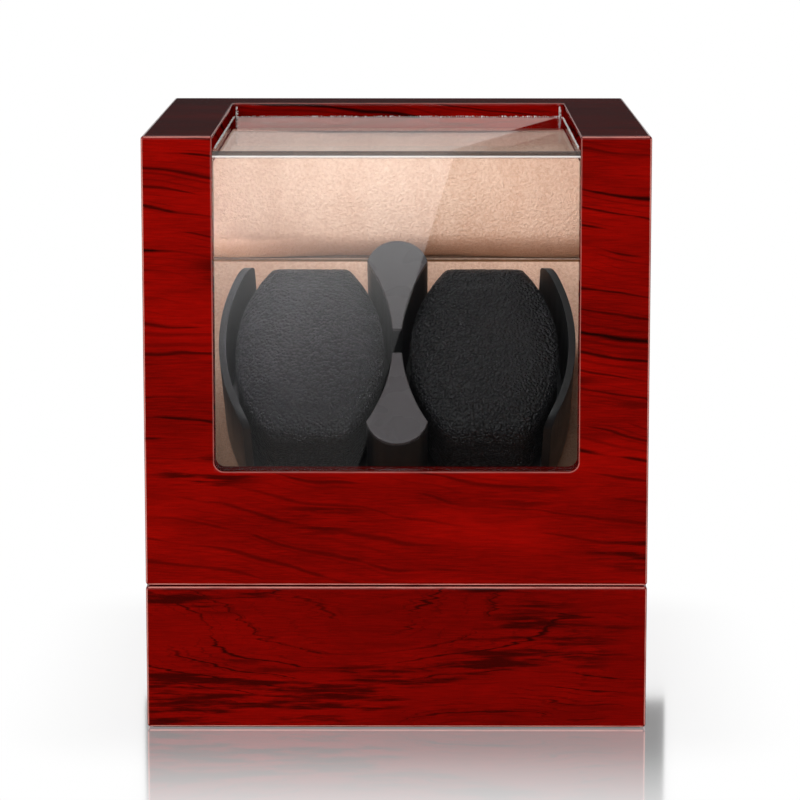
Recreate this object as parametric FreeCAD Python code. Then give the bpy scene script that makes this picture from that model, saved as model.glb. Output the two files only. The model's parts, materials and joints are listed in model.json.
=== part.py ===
import FreeCAD, Part
import math
import os

# Watch winder box: a lacquered wooden base, a hinged lid with a clear window, a tilted rotor
# that carries two watch pillows in front of a suede deck, and a geared motor behind the deck.
# Millimetres. Seen from the front, +X is right, +Y is back and +Z is up. The origin is the
# centre of the felt underside, on the surface that the box stands on.

Vector = FreeCAD.Vector
spare = 5.0  # how far a cutting tool runs past what it cuts

# Case
box_width = 180.0
box_depth = 170.0
base_height = 53.0
lid_height = 161.6
seam = 0.4
wall = 10.0
edge_round = 1.2
floor_thickness = 8.0
felt_thickness = 1.0
felt_inset = 2.0
lining_thickness = 1.2
lining_reveal = 1.0

# Window
window_width = 130.0
window_sill = 95.0
top_rail = 25.0
sill_corner = 3.5
top_corner = 3.0
window_edge_round = 0.6
pane_thickness = 3.0
pane_front_recess = 1.5
pane_top_recess = 5.5
pane_gap = 0.1
pane_edge_round = 0.5

# Rotor: its front plane leans back by the tilt, and set-backs are measured behind that plane
tilt = 37.0
rotor_setback = 60.0
rotor_lift = 133.3
rotor_radius = 66.5
wing_thickness = 2.6
wing_half_height = 34.0
wing_corner = 7.0
cup_depth = 50.5
plate_thickness = 3.0
plate_half_height = 46.0
hub_radius = 9.0
hub_length = 6.0
post_reach = 43.0
post_end_radius = 11.7
post_gap = 10.0
post_waist = 3.4
post_bore_radius = 8.5
post_bore_depth = 30.0
cap_thickness = 2.0
cap_plug_length = 4.0
cap_plug_clearance = 0.1

# Pillows
pillow_width = 56.4
pillow_height = 72.4
pillow_flat = 29.0
pillow_setback = 4.0
soft_gap = 0.3
pillow_waist_share = 0.975
pillow_crown = ((0.0, 0.70), (1.2, 0.87), (2.8, 0.965), (5.5, 1.0))  # set-back, share of the outline

# Deck, and the padded roll above it
deck_setback = 58.5
deck_thickness = 5.0
deck_side_clearance = 1.5
crease_height = 151.6
cheek_thickness = 8.0
cheek_inset = 4.0
cheek_back_gap = 6.0
cheek_top_drop = 8.0
roll_gap = 1.2
roll_edge_thickness = 7.0
roll_crown = 10.0
roll_end_share = 0.72

# Drive
shaft_radius = 3.0
running_clearance = 0.05
bush_wall = 2.0
bush_flange_radius = 8.0
bush_flange_thickness = 1.5
bush_flange_clearance = 0.2
thrust_clearance = 0.3
gear_module = 0.8
gear_teeth = 54
pinion_teeth = 18
pressure_angle = math.radians(20.0)
dedendum_share = 1.25
backlash = 0.16
gear_face = 6.0
gear_hub_radius = 7.0
gear_hub_front = 2.5
pinion_face = 8.0
pinion_shaft_radius = 2.0
housing_depth = 15.3
housing_wall = 2.0
housing_clearance = 1.6
housing_flange = 5.0
housing_boss_radius = 3.0
cover_thickness = 2.5
rear_bush_length = 5.5
gearhead_radius = 12.5
gearhead_length = 20.0
gearhead_nose_radius = 5.0
gearhead_bore_depth = 12.0
motor_radius = 12.2
motor_length = 26.0
motor_boss_radius = 5.0
motor_boss_length = 2.0
motor_screw_offset = 8.5
terminal_offset = 6.0
terminal_size = (2.8, 0.5, 5.0)
lead_radius = 0.6
lead_trim_share = 0.45  # how much of the shorter run a bend takes up

# Power inlet and mode switch, on a board behind the left of the base's back
panel_height = 29.0
inlet_place = -52.0
switch_place = -30.0
board_span = (-61.0, -19.0)
board_height = 30.0
board_thickness = 1.6
board_standoff = 9.0
connector_size = (7.0, 6.0, 12.0)
connector_pitch = 6.0
chip_size = (9.0, 1.6, 9.0)
capacitor_radius = 3.0
capacitor_length = 8.0
inlet_body = (9.0, 11.0)
inlet_radius = 4.0
inlet_bore_radius = 2.75
inlet_bore_depth = 9.0
inlet_pin_radius = 1.0
inlet_pin_setback = 1.5
inlet_pin_root = 5.0
inlet_proud = 1.2
ring_radius = 6.0
ring_thickness = 1.5
ring_edge_round = 0.5
switch_body = 13.0
switch_bush_radius = 3.5
switch_bush_proud = 2.5
switch_nut_flats = 10.0
switch_nut_thickness = 2.0
mode_shaft_radius = 2.0
mode_shaft_depth = 14.0
knob_radius = 8.0
knob_length = 10.0
knob_gap = 0.5
knob_flutes = 16
knob_flute_radius = 1.1
knob_edge_round = 0.8
knob_pointer = (1.2, 6.0, 0.6)  # width, length, depth
knob_pointer_rim = 1.0
knob_shaft_end = 2.5

# Hinges
hinge_place = 50.0
hinge_length = 32.0
hinge_leaf_height = 13.0
hinge_leaf_thickness = 1.2
hinge_barrel_radius = 2.2
hinge_offset = 0.6
hinge_pin_radius = 1.0
hinge_play = 0.2
hinge_screw_pitch = 20.0
hinge_screw_drop = 8.0

# Fasteners: length, shank radius, head radius, head height
leaf_screw = (9.0, 1.2, 2.2, 1.0)
housing_screw = (6.0, 1.2, 2.3, 1.6)
cover_screw = (8.0, 1.0, 2.0, 1.4)
motor_screw = (6.0, 1.25, 2.4, 1.5)
rotor_screw = (11.0, 1.25, 3.4, 2.2)
recess_width = 0.6
recess_share = 0.7
recess_depth = 0.7

# Places worked out from the sizes above
front_face = -box_depth / 2
back_face = box_depth / 2
lid_low = base_height + seam
lid_high = lid_low + lid_height
floor_top = felt_thickness + floor_thickness
inner_half_width = box_width / 2 - wall
inner_half_depth = box_depth / 2 - wall
lined_half_width = inner_half_width - lining_thickness
lined_half_depth = inner_half_depth - lining_thickness
pocket_radius = rotor_radius - wing_thickness
side_arc_place = pocket_radius + post_waist / 2
pillow_offset = side_arc_place / 2
plate_front = cup_depth - plate_thickness
deck_front = deck_setback + lining_thickness
deck_back = deck_front + deck_thickness
housing_back = deck_back + housing_depth
cover_back = housing_back + cover_thickness
bush_radius = shaft_radius + running_clearance + bush_wall
pitch_sum = gear_module * (gear_teeth + pinion_teeth)
pinion_place = -pitch_sum / 2
gear_tip_radius = gear_module * (gear_teeth / 2 + 1)
housing_half = gear_tip_radius + housing_clearance
housing_low = pinion_place - gearhead_radius
motor_front = cover_back + gearhead_length
motor_back = motor_front + motor_length
board_back = inner_half_depth - board_standoff
board_front = board_back - board_thickness
hinge_y = back_face + hinge_offset
hinge_z = base_height + seam / 2

rotor_centre = Vector(0, front_face + rotor_setback, rotor_lift)
drive_frame = FreeCAD.Placement(rotor_centre, FreeCAD.Rotation(Vector(1, 0, 0), 90 - tilt))


# Shapes in the case's own frame

def box(x_span, y_span, z_span):
    corner = Vector(x_span[0], y_span[0], z_span[0])
    return Part.makeBox(x_span[1] - x_span[0], y_span[1] - y_span[0], z_span[1] - z_span[0], corner)


def rod(radius, start, end):
    return Part.makeCylinder(radius, (end - start).Length, start, end - start)


def fused(shapes):
    return shapes[0].multiFuse(shapes[1:]).removeSplitter()


def middle_of(edge):
    return edge.valueAt((edge.FirstParameter + edge.LastParameter) / 2)


def edges_where(shape, test):
    return [edge for edge in shape.Edges if test(middle_of(edge))]


def near(a, b):
    return abs(a - b) < 0.01


# Shapes in the rotor's frame: x right, y up its face, z out of the box, with the front plane at z = 0

def disc(radius, front, back, x=0.0, y=0.0):
    return Part.makeCylinder(radius, back - front, Vector(x, y, -back))


def slab(x_span, y_span, front, back):
    return box(x_span, y_span, (-back, -front))


def prism(edges, front, back):
    face = Part.Face(Part.Wire(edges))
    face.translate(Vector(0, 0, -back))
    return face.extrude(Vector(0, 0, back - front))


def in_case(shape):
    return shape.transformed(drive_frame.toMatrix(), True)


def case_point(x, y, setback):
    return drive_frame.multVec(Vector(x, y, -setback))


def deck_line(setback, height):
    # the y at which the plane at this set-back behind the rotor's front plane has this height
    lean = math.radians(tilt)
    along = (height - rotor_lift + setback * math.sin(lean)) / math.cos(lean)
    return rotor_centre.y + setback * math.cos(lean) + along * math.sin(lean)


# Screws are made with the seat of the head at the origin and the shank going down

def screw(sizes, countersunk=False):
    length, shank_radius, head_radius, head_height = sizes
    shank = rod(shank_radius, Vector(0, 0, 0), Vector(0, 0, -length))
    if countersunk:
        head = Part.makeCone(shank_radius, head_radius, head_height, Vector(0, 0, -head_height))
        top = 0.0
    else:
        head = rod(head_radius, Vector(0, 0, 0), Vector(0, 0, head_height))
        top = head_height
    reach = head_radius * recess_share
    body = shank.fuse(head)
    for long_side, short_side in ((reach, recess_width / 2), (recess_width / 2, reach)):
        slot = box((-long_side, long_side), (-short_side, short_side), (top - recess_depth, top + spare))
        body = body.cut(slot)
    return body


def screw_hole(sizes, countersunk=False):
    length, shank_radius, head_radius, head_height = sizes
    hole = rod(shank_radius, Vector(0, 0, spare), Vector(0, 0, -length))
    if countersunk:
        hole = hole.fuse(Part.makeCone(shank_radius, head_radius, head_height, Vector(0, 0, -head_height)))
    return hole


def set_at(shape, place, outward):
    turned = shape.copy()
    turned.Placement = FreeCAD.Placement(place, FreeCAD.Rotation(Vector(0, 0, 1), outward))
    return turned


def screw_group(sizes, places, outward, countersunk=False):
    return [set_at(screw(sizes, countersunk), place, outward) for place in places]


def cut_holes(shape, sizes, places, outward, countersunk=False):
    for place in places:
        shape = shape.cut(set_at(screw_hole(sizes, countersunk), place, outward))
    return shape


# Wooden case: rounded shells, cut into mitred boards

def rounded_case(low, high):
    case = box((-box_width / 2, box_width / 2), (front_face, back_face), (low, high))
    return case.makeFillet(edge_round, case.Edges)


def side_rectangle(side, inset):
    x = box_width / 2 - inset
    y = box_depth / 2 - inset
    low = -spare
    high = lid_high + spare
    corners = {
        "front": ((-x, -y, low), (x, -y, low), (x, -y, high), (-x, -y, high)),
        "back": ((-x, y, low), (x, y, low), (x, y, high), (-x, y, high)),
        "left": ((-x, -y, low), (-x, y, low), (-x, y, high), (-x, -y, high)),
        "right": ((x, -y, low), (x, y, low), (x, y, high), (x, -y, high)),
    }[side]
    points = [Vector(*corner) for corner in corners]
    return Part.makePolygon(points + points[:1])


def wall_boards(shell, prefix):
    # four walls that meet in mitres
    boards = {}
    for side in ("front", "back", "left", "right"):
        wedge = Part.makeLoft([side_rectangle(side, -spare), side_rectangle(side, wall)], True, True)
        boards[prefix + side] = shell.common(wedge)
    return boards


def base_boards():
    shell = rounded_case(felt_thickness, base_height)
    hollow = box((-inner_half_width, inner_half_width), (-inner_half_depth, inner_half_depth), (0, lid_high))
    boards = wall_boards(shell.cut(hollow), "base_")
    boards["base_back"] = panel_cuts(hinge_cuts(boards["base_back"], -1))
    return boards


def window_opening():
    x_span = (-window_width / 2, window_width / 2)
    front_slot = box(x_span, (front_face - spare, front_face + wall + spare), (window_sill, lid_high + spare))
    front_slot = front_slot.makeFillet(sill_corner, edges_where(
        front_slot, lambda p: near(p.z, window_sill) and near(abs(p.x), window_width / 2)))
    slot_back = back_face - top_rail
    top_slot = box(x_span, (front_face - spare, slot_back), (lid_high - wall - spare, lid_high + spare))
    top_slot = top_slot.makeFillet(top_corner, edges_where(
        top_slot, lambda p: near(p.y, slot_back) and near(abs(p.x), window_width / 2)))
    return fused([front_slot, top_slot])


def lid_boards():
    case = rounded_case(lid_low, lid_high)
    hollow = box((-inner_half_width, inner_half_width), (-inner_half_depth, inner_half_depth),
                 (0, lid_high - wall))
    opening = window_opening()
    shell = case.cut(hollow).cut(opening)

    def on_rim(point):
        vertex = Part.Vertex(point)
        on_skin = case.Shells[0].distToShape(vertex)[0] < 0.01
        return on_skin and opening.Shells[0].distToShape(vertex)[0] < 0.01

    shell = shell.makeFillet(window_edge_round, edges_where(shell, on_rim))
    top_space = box((-box_width, box_width), (-box_depth, box_depth), (lid_high - wall, lid_high + spare))
    boards = wall_boards(shell.cut(top_space), "lid_")
    boards["lid_top"] = shell.common(top_space)
    boards["lid_back"] = hinge_cuts(boards["lid_back"], 1)
    return boards


def window_pane():
    front = front_face + pane_front_recess
    top = lid_high - pane_top_recess
    low = window_sill + pane_gap
    back = back_face - top_rail - pane_gap
    half = window_width / 2 - pane_gap
    outline = ((front, low), (front, top), (back, top), (back, top - pane_thickness),
               (front + pane_thickness, top - pane_thickness), (front + pane_thickness, low))
    points = [Vector(-half, y, z) for y, z in outline]
    pane = Part.Face(Part.makePolygon(points + points[:1])).extrude(Vector(2 * half, 0, 0))
    pane = pane.makeFillet(sill_corner - pane_gap, edges_where(
        pane, lambda p: near(p.z, low) and near(abs(p.x), half)))
    pane = pane.makeFillet(top_corner - pane_gap, edges_where(
        pane, lambda p: near(p.y, back) and near(abs(p.x), half)))
    return pane.makeFillet(pane_edge_round, edges_where(pane, lambda p: near(p.y, front) and near(p.z, top)))


def base_floor():
    return box((-inner_half_width, inner_half_width), (-inner_half_depth, inner_half_depth),
               (felt_thickness, floor_top))


def base_felt():
    x = box_width / 2 - felt_inset
    y = box_depth / 2 - felt_inset
    return box((-x, x), (-y, y), (0, felt_thickness))


def side_lining(side, low, high):
    x_span = sorted((side * lined_half_width, side * inner_half_width))
    return box(x_span, (-inner_half_depth, inner_half_depth), (low, high))


def cross_lining(side, low, high):
    y_span = sorted((side * lined_half_depth, side * inner_half_depth))
    return box((-lined_half_width, lined_half_width), y_span, (low, high))


def floor_lining():
    high = floor_top + lining_thickness
    back = deck_line(deck_setback, floor_top) - soft_gap
    return box((-lined_half_width, lined_half_width), (-lined_half_depth, back), (floor_top, high))


# Padded roll on the inside of the lid's back: a crowned profile, drawn in at both ends

def lid_roll():
    low = crease_height + roll_gap
    high = lid_high - wall - soft_gap
    back = inner_half_depth - soft_gap
    half = lined_half_width - soft_gap
    sections = []
    for x, share in ((-half, roll_end_share), (0, 1), (half, roll_end_share)):
        edge = back - roll_edge_thickness * share
        crown = edge - roll_crown * share
        bottom = Vector(x, edge, low)
        top = Vector(x, edge, high)
        arc = Part.Arc(bottom, Vector(x, crown, (low + high) / 2), top).toShape()
        rest = Part.makePolygon([top, Vector(x, back, high), Vector(x, back, low), bottom])
        sections.append(Part.Wire([arc] + rest.Edges))
    return Part.makeLoft(sections, True)


# Deck

def deck_slab(front, back, low):
    half = lined_half_width - deck_side_clearance
    reach = box_depth + lid_high
    level = box((-box_width, box_width), (-box_depth, box_depth), (low, crease_height))
    return in_case(slab((-half, half), (-reach, reach), front, back)).common(level)


def deck_board():
    deck = deck_slab(deck_front, deck_back, floor_top)
    deck = deck.cut(in_case(disc(bush_radius, deck_setback, deck_back + spare)))
    return cut_holes(deck, housing_screw, housing_screw_places(), drive_back())


def deck_lining():
    lining = deck_slab(deck_setback, deck_front, floor_top + lining_thickness)
    return lining.cut(in_case(disc(bush_radius, deck_setback - spare, deck_front + spare)))


def deck_cheek(side):
    top = crease_height - cheek_top_drop
    back = inner_half_depth - cheek_back_gap
    outline = ((deck_line(deck_back, floor_top), floor_top), (back, floor_top),
               (back, top), (deck_line(deck_back, top), top))
    outer = lined_half_width - deck_side_clearance - cheek_inset
    x = outer - cheek_thickness if side > 0 else -outer
    points = [Vector(x, y, z) for y, z in outline]
    return Part.Face(Part.makePolygon(points + points[:1])).extrude(Vector(cheek_thickness, 0, 0))


# Rotor

def fan_edges():
    # outline of the upper post: waist end, two hollow sides and a round outer end
    end_centre = post_reach - post_end_radius

    def side_at(y):
        return side_arc_place - math.sqrt(pocket_radius ** 2 - y ** 2)

    span = math.hypot(side_arc_place, end_centre)
    along = (pocket_radius ** 2 - post_end_radius ** 2 + span ** 2) / (2 * span)
    across = math.sqrt(pocket_radius ** 2 - along ** 2)
    lean = math.atan2(end_centre, -side_arc_place)
    corner_x = side_arc_place + along * math.cos(lean) + across * math.sin(lean)
    corner_y = along * math.sin(lean) - across * math.cos(lean)
    waist_y = post_gap / 2
    middle_y = (waist_y + corner_y) / 2
    waist = Vector(side_at(waist_y), waist_y, 0)
    middle = Vector(side_at(middle_y), middle_y, 0)
    corner = Vector(corner_x, corner_y, 0)

    def mirrored(point):
        return Vector(-point.x, point.y, point.z)

    return [
        Part.LineSegment(mirrored(waist), waist).toShape(),
        Part.Arc(waist, middle, corner).toShape(),
        Part.Arc(corner, Vector(0, post_reach, 0), mirrored(corner)).toShape(),
        Part.Arc(mirrored(corner), mirrored(middle), mirrored(waist)).toShape(),
    ]


def lower(shape):
    # the same shape on the lower half of the rotor
    return shape.copy().rotated(Vector(0, 0, 0), Vector(0, 0, 1), 180)


def rotor_wings():
    ring = disc(rotor_radius, 0, cup_depth).cut(disc(pocket_radius, -spare, cup_depth + spare))
    keep = slab((-rotor_radius - spare, rotor_radius + spare), (-wing_half_height, wing_half_height),
                0, cup_depth + spare)
    corners = edges_where(keep, lambda p: near(p.z, 0) and near(abs(p.y), wing_half_height))
    return ring.common(keep.makeFillet(wing_corner, corners))


def rotor_cup():
    plate = disc(rotor_radius, plate_front, cup_depth)
    plate = plate.common(slab((-rotor_radius, rotor_radius), (-plate_half_height, plate_half_height),
                              0, cup_depth))
    hub = disc(hub_radius, plate_front, cup_depth + hub_length)
    post = prism(fan_edges(), cap_thickness, cup_depth)
    post_centre = post_reach - post_end_radius
    post = post.cut(disc(post_bore_radius, 0, cap_thickness + post_bore_depth, 0, post_centre))
    cup = fused([plate, hub, post, lower(post)] + rotor_wings().Solids)
    return cup.cut(disc(shaft_radius, 0, cup_depth + hub_length + spare))


def post_cap():
    cap = prism(fan_edges(), 0, cap_thickness)
    post_centre = post_reach - post_end_radius
    plug = disc(post_bore_radius - cap_plug_clearance, cap_thickness / 2, cap_thickness + cap_plug_length,
                0, post_centre)
    return fused([cap, plug])


def rotor_shaft():
    back = housing_back - bush_flange_thickness + rear_bush_length + thrust_clearance
    shaft = disc(shaft_radius, plate_front, back)
    return shaft.cut(disc(rotor_screw[1], plate_front - spare, plate_front + rotor_screw[0]))


def centre_screw():
    return set_at(screw(rotor_screw), Vector(0, 0, -plate_front), Vector(0, 0, 1))


# Pillows: a stuffed outline with hollow-cornered ends, crowned front and back, drawn in between

def pillow_section(share, setback, side):
    x = pillow_width / 2 * share
    y = pillow_height / 2 * share
    flat = pillow_flat / 2 * share
    place = Vector(side * pillow_offset, 0, -setback)
    upper_left, upper_right = Vector(-flat, y, 0) + place, Vector(flat, y, 0) + place
    lower_left, lower_right = Vector(-flat, -y, 0) + place, Vector(flat, -y, 0) + place
    return Part.Wire([
        Part.LineSegment(upper_left, upper_right).toShape(),
        Part.Arc(upper_right, Vector(x, 0, 0) + place, lower_right).toShape(),
        Part.LineSegment(lower_right, lower_left).toShape(),
        Part.Arc(lower_left, Vector(-x, 0, 0) + place, upper_left).toShape(),
    ])


def pillow(side):
    back = plate_front - soft_gap
    front_half = [(pillow_setback + depth, share) for depth, share in pillow_crown]
    back_half = [(back - depth, share) for depth, share in reversed(pillow_crown)]
    waist = [((pillow_setback + back) / 2, pillow_waist_share)]
    sections = [pillow_section(share, setback, side) for setback, share in front_half + waist + back_half]
    return Part.makeLoft(sections, True)


# Gears: involute flanks, a tooth centred on the direction of the turn angle

def polar(radius, angle):
    return Vector(radius * math.cos(angle), radius * math.sin(angle), 0)


def arc_edge(radius, start, end):
    middle = polar(radius, (start + end) / 2)
    return Part.Arc(polar(radius, start), middle, polar(radius, end)).toShape()


def spline_edge(points):
    curve = Part.BSplineCurve()
    curve.interpolate(points)
    return curve.toShape()


def gear_edges(teeth, turn):
    pitch_radius = gear_module * teeth / 2
    base_radius = pitch_radius * math.cos(pressure_angle)
    tip_radius = pitch_radius + gear_module
    root_radius = pitch_radius - dedendum_share * gear_module
    start_radius = max(base_radius, root_radius)
    pitch_half_angle = math.pi / (2 * teeth) - backlash / (4 * pitch_radius)

    def involute(angle):
        return math.tan(angle) - angle

    def half_angle(radius):
        return pitch_half_angle + involute(pressure_angle) - involute(math.acos(min(1, base_radius / radius)))

    steps = 5
    radii = [start_radius + (tip_radius - start_radius) * step / (steps - 1) for step in range(steps)]
    edges = []
    for tooth in range(teeth):
        centre = turn + 2 * math.pi * tooth / teeth
        following = centre + 2 * math.pi / teeth
        rising = [polar(radius, centre - half_angle(radius)) for radius in radii]
        falling = [polar(radius, centre + half_angle(radius)) for radius in reversed(radii)]
        foot = half_angle(start_radius)
        has_radial_foot = root_radius < start_radius
        if has_radial_foot:
            edges.append(Part.LineSegment(polar(root_radius, centre - foot), rising[0]).toShape())
        edges.append(spline_edge(rising))
        edges.append(arc_edge(tip_radius, centre - half_angle(tip_radius), centre + half_angle(tip_radius)))
        edges.append(spline_edge(falling))
        if has_radial_foot:
            edges.append(Part.LineSegment(falling[-1], polar(root_radius, centre + foot)).toShape())
        edges.append(arc_edge(root_radius, centre + foot, following - foot))
    return edges


def gear_front():
    return deck_back + bush_flange_thickness + thrust_clearance + gear_hub_front


def rotor_gear():
    towards_pinion = -math.pi / 2
    front = gear_front()
    hub_back = housing_back - bush_flange_thickness - thrust_clearance
    wheel = prism(gear_edges(gear_teeth, towards_pinion), front, front + gear_face)
    hub = disc(gear_hub_radius, front - gear_hub_front, hub_back)
    return fused([wheel, hub]).cut(disc(shaft_radius, 0, cover_back))


def pinion_front():
    return gear_front() + (gear_face - pinion_face) / 2


def pinion_gear():
    gap_towards_gear = math.pi / 2 + math.pi / pinion_teeth
    front = pinion_front()
    wheel = prism(gear_edges(pinion_teeth, gap_towards_gear), front, front + pinion_face)
    wheel = wheel.cut(disc(pinion_shaft_radius, 0, cover_back))
    wheel.translate(Vector(0, pinion_place, 0))
    return wheel


def pinion_shaft():
    back = housing_back + gearhead_bore_depth - thrust_clearance
    return disc(pinion_shaft_radius, pinion_front(), back, 0, pinion_place)


# Bushes, housing, motor

def front_bush():
    sleeve = disc(bush_radius, deck_setback, deck_back + bush_flange_thickness)
    flange = disc(bush_flange_radius, deck_back, deck_back + bush_flange_thickness)
    return fused([sleeve, flange]).cut(disc(shaft_radius + running_clearance, 0, cover_back))


def rear_bush():
    front = housing_back - bush_flange_thickness
    sleeve = disc(bush_radius, front, front + rear_bush_length)
    flange = disc(bush_flange_radius, front, housing_back)
    return fused([sleeve, flange]).cut(disc(shaft_radius + running_clearance, 0, cover_back + spare))


def drive_back():
    # direction out of the back of the drive, away from the rotor
    return drive_frame.Rotation.multVec(Vector(0, 0, -1))


def housing_corners(inset):
    x = housing_half - inset
    return [(side * x, y) for side in (-1, 1) for y in (housing_half - inset, housing_low + inset)]


def housing_screw_places():
    inset = -housing_wall - housing_flange / 2
    return [case_point(x, y, deck_back + housing_wall) for x, y in housing_corners(inset)]


def cover_screw_places():
    return [case_point(x, y, cover_back) for x, y in housing_corners(housing_boss_radius / 2)]


def motor_screw_places():
    return [case_point(side * motor_screw_offset, pinion_place, housing_back) for side in (-1, 1)]


def housing_slab(margin, front, back):
    half = housing_half + margin
    return slab((-half, half), (housing_low - margin, half), front, back)


def gear_housing():
    flange = housing_slab(housing_wall + housing_flange, deck_back, deck_back + housing_wall)
    walls = housing_slab(housing_wall, deck_back, housing_back)
    hollow = housing_slab(0, deck_back + housing_wall, housing_back + spare)
    bosses = [disc(housing_boss_radius, deck_back, housing_back, x, y)
              for x, y in housing_corners(housing_boss_radius / 2)]
    bush_seat = disc(bush_flange_radius + bush_flange_clearance, 0, deck_back + housing_wall + spare)
    housing = fused([fused([flange, walls]).cut(hollow)] + bosses)
    housing = in_case(housing.common(housing_slab(housing_wall + housing_flange, deck_back, housing_back)))
    housing = housing.cut(in_case(bush_seat))
    housing = cut_holes(housing, housing_screw, housing_screw_places(), drive_back())
    return cut_holes(housing, cover_screw, cover_screw_places(), drive_back())


def gear_cover():
    cover = housing_slab(housing_wall, housing_back, cover_back)
    cover = cover.cut(disc(bush_radius, 0, cover_back + spare))
    cover = in_case(cover.cut(disc(gearhead_nose_radius, 0, cover_back + spare, 0, pinion_place)))
    cover = cut_holes(cover, cover_screw, cover_screw_places(), drive_back())
    return cut_holes(cover, motor_screw, motor_screw_places(), drive_back() * -1)


def gearhead():
    can = disc(gearhead_radius, cover_back, motor_front, 0, pinion_place)
    nose = disc(gearhead_nose_radius, housing_back, cover_back, 0, pinion_place)
    bore_radius = pinion_shaft_radius + running_clearance
    bore = disc(bore_radius, 0, housing_back + gearhead_bore_depth, 0, pinion_place)
    body = in_case(fused([can, nose]).cut(bore))
    return cut_holes(body, motor_screw, motor_screw_places(), drive_back() * -1)


def terminal_places():
    return [pinion_place + terminal_offset, pinion_place - terminal_offset]


def motor():
    can = disc(motor_radius, motor_front, motor_back, 0, pinion_place)
    boss = disc(motor_boss_radius, motor_back, motor_back + motor_boss_length, 0, pinion_place)
    width, thickness, length = terminal_size
    tabs = []
    for y in terminal_places():
        y_span = (y - thickness / 2, y + thickness / 2)
        tabs.append(slab((-width / 2, width / 2), y_span, motor_back, motor_back + length))
    return in_case(fused([can, boss] + tabs))


# Leads: straight runs joined by tangent arcs, from the motor's tabs to the board's connector

def lead(points):
    edges = []
    start = points[0]
    for before, corner, after in zip(points, points[1:], points[2:]):
        inward, outward = corner - before, after - corner
        turn = inward.getAngle(outward)
        trim = lead_trim_share * min(inward.Length, outward.Length)
        inward.normalize()
        outward.normalize()
        arc_start, arc_end = corner - inward * trim, corner + outward * trim
        radius = trim / math.tan(turn / 2)
        towards = (outward - inward).normalize()
        middle = corner + towards * (radius / math.cos(turn / 2) - radius)
        edges.append(Part.LineSegment(start, arc_start).toShape())
        edges.append(Part.Arc(arc_start, middle, arc_end).toShape())
        start = arc_end
        print(f"lead bend radius {radius:.1f} mm")
    edges.append(Part.LineSegment(start, points[-1]).toShape())
    path = Part.Wire(edges)
    profile = Part.Wire(Part.makeCircle(lead_radius, points[0], points[1] - points[0]))
    tube = path.makePipeShell([profile], True, False)
    section = math.pi * lead_radius ** 2
    print(f"lead length {path.Length:.1f} mm, volume over section {tube.Volume / section:.1f} mm")
    return tube


def motor_leads():
    width, thickness, length = terminal_size
    leads = []
    for y, side in zip(terminal_places(), (1, -1)):
        tab = case_point(-width / 2, y, motor_back + length / 2)
        pin_height = panel_height + side * connector_pitch / 2
        pin = Vector(board_span[1], board_front - connector_size[1] / 2, pin_height)
        reach = (tab.x - pin.x) / 3
        leads.append(lead([tab, tab - Vector(reach, 0, 0), pin + Vector(reach, 0, 0), pin]))
    return leads


# Board, power inlet, mode switch

def control_board():
    left, right = board_span
    z_span = (panel_height - board_height / 2, panel_height + board_height / 2)
    plate = box(board_span, (board_front, board_back), z_span)
    width, depth, height = connector_size
    connector = box((right - width, right), (board_front - depth, board_front),
                    (panel_height - height / 2, panel_height + height / 2))
    chip_place = (left + right) / 2
    width, depth, height = chip_size
    chip = box((chip_place - width / 2, chip_place + width / 2), (board_front - depth, board_front),
               (panel_height - height / 2, panel_height + height / 2))
    capacitor_seat = Vector(inlet_place, board_front, panel_height)
    capacitor = rod(capacitor_radius, capacitor_seat, capacitor_seat - Vector(0, capacitor_length, 0))
    return fused([plate, connector, chip, capacitor])


def panel_rod(x, radius, start, end):
    return rod(radius, Vector(x, start, panel_height), Vector(x, end, panel_height))


def panel_cuts(back_board):
    for x, radius in ((inlet_place, inlet_radius), (switch_place, switch_bush_radius)):
        back_board = back_board.cut(panel_rod(x, radius, 0, back_face + spare))
    return back_board


def power_inlet():
    width, height = inlet_body
    body = box((inlet_place - width / 2, inlet_place + width / 2), (board_back, inner_half_depth),
               (panel_height - height / 2, panel_height + height / 2))
    mouth = back_face + inlet_proud
    barrel = panel_rod(inlet_place, inlet_radius, board_back, mouth)
    bore_end = mouth - inlet_bore_depth
    bore = panel_rod(inlet_place, inlet_bore_radius, bore_end, mouth + spare)
    pin = panel_rod(inlet_place, inlet_pin_radius, bore_end - inlet_pin_root, mouth - inlet_pin_setback)
    return fused([fused([body, barrel]).cut(bore), pin])


def inlet_ring():
    outside = back_face + ring_thickness
    ring = panel_rod(inlet_place, ring_radius, back_face, outside)
    ring = ring.makeFillet(ring_edge_round, edges_where(ring, lambda p: near(p.y, outside)))
    return ring.cut(panel_rod(inlet_place, inlet_radius, 0, back_face + spare))


def mode_switch():
    half = switch_body / 2
    body = box((switch_place - half, switch_place + half), (board_back, inner_half_depth),
               (panel_height - half, panel_height + half))
    bush = panel_rod(switch_place, switch_bush_radius, board_back, back_face + switch_bush_proud)
    bore_end = back_face + switch_bush_proud - mode_shaft_depth - thrust_clearance
    bore = panel_rod(switch_place, mode_shaft_radius + running_clearance, bore_end, back_face + spare)
    return fused([body, bush]).cut(bore)


def switch_nut():
    corner = switch_nut_flats / 2 / math.cos(math.pi / 6)
    points = [Vector(switch_place + corner * math.cos(i * math.pi / 3), back_face,
                     panel_height + corner * math.sin(i * math.pi / 3)) for i in range(7)]
    nut = Part.Face(Part.makePolygon(points)).extrude(Vector(0, switch_nut_thickness, 0))
    return nut.cut(panel_rod(switch_place, switch_bush_radius, 0, back_face + spare))


def knob_span():
    start = back_face + switch_bush_proud + knob_gap
    return start, start + knob_length


def mode_shaft():
    start = back_face + switch_bush_proud - mode_shaft_depth
    return panel_rod(switch_place, mode_shaft_radius, start, knob_span()[1] - knob_shaft_end)


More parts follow.
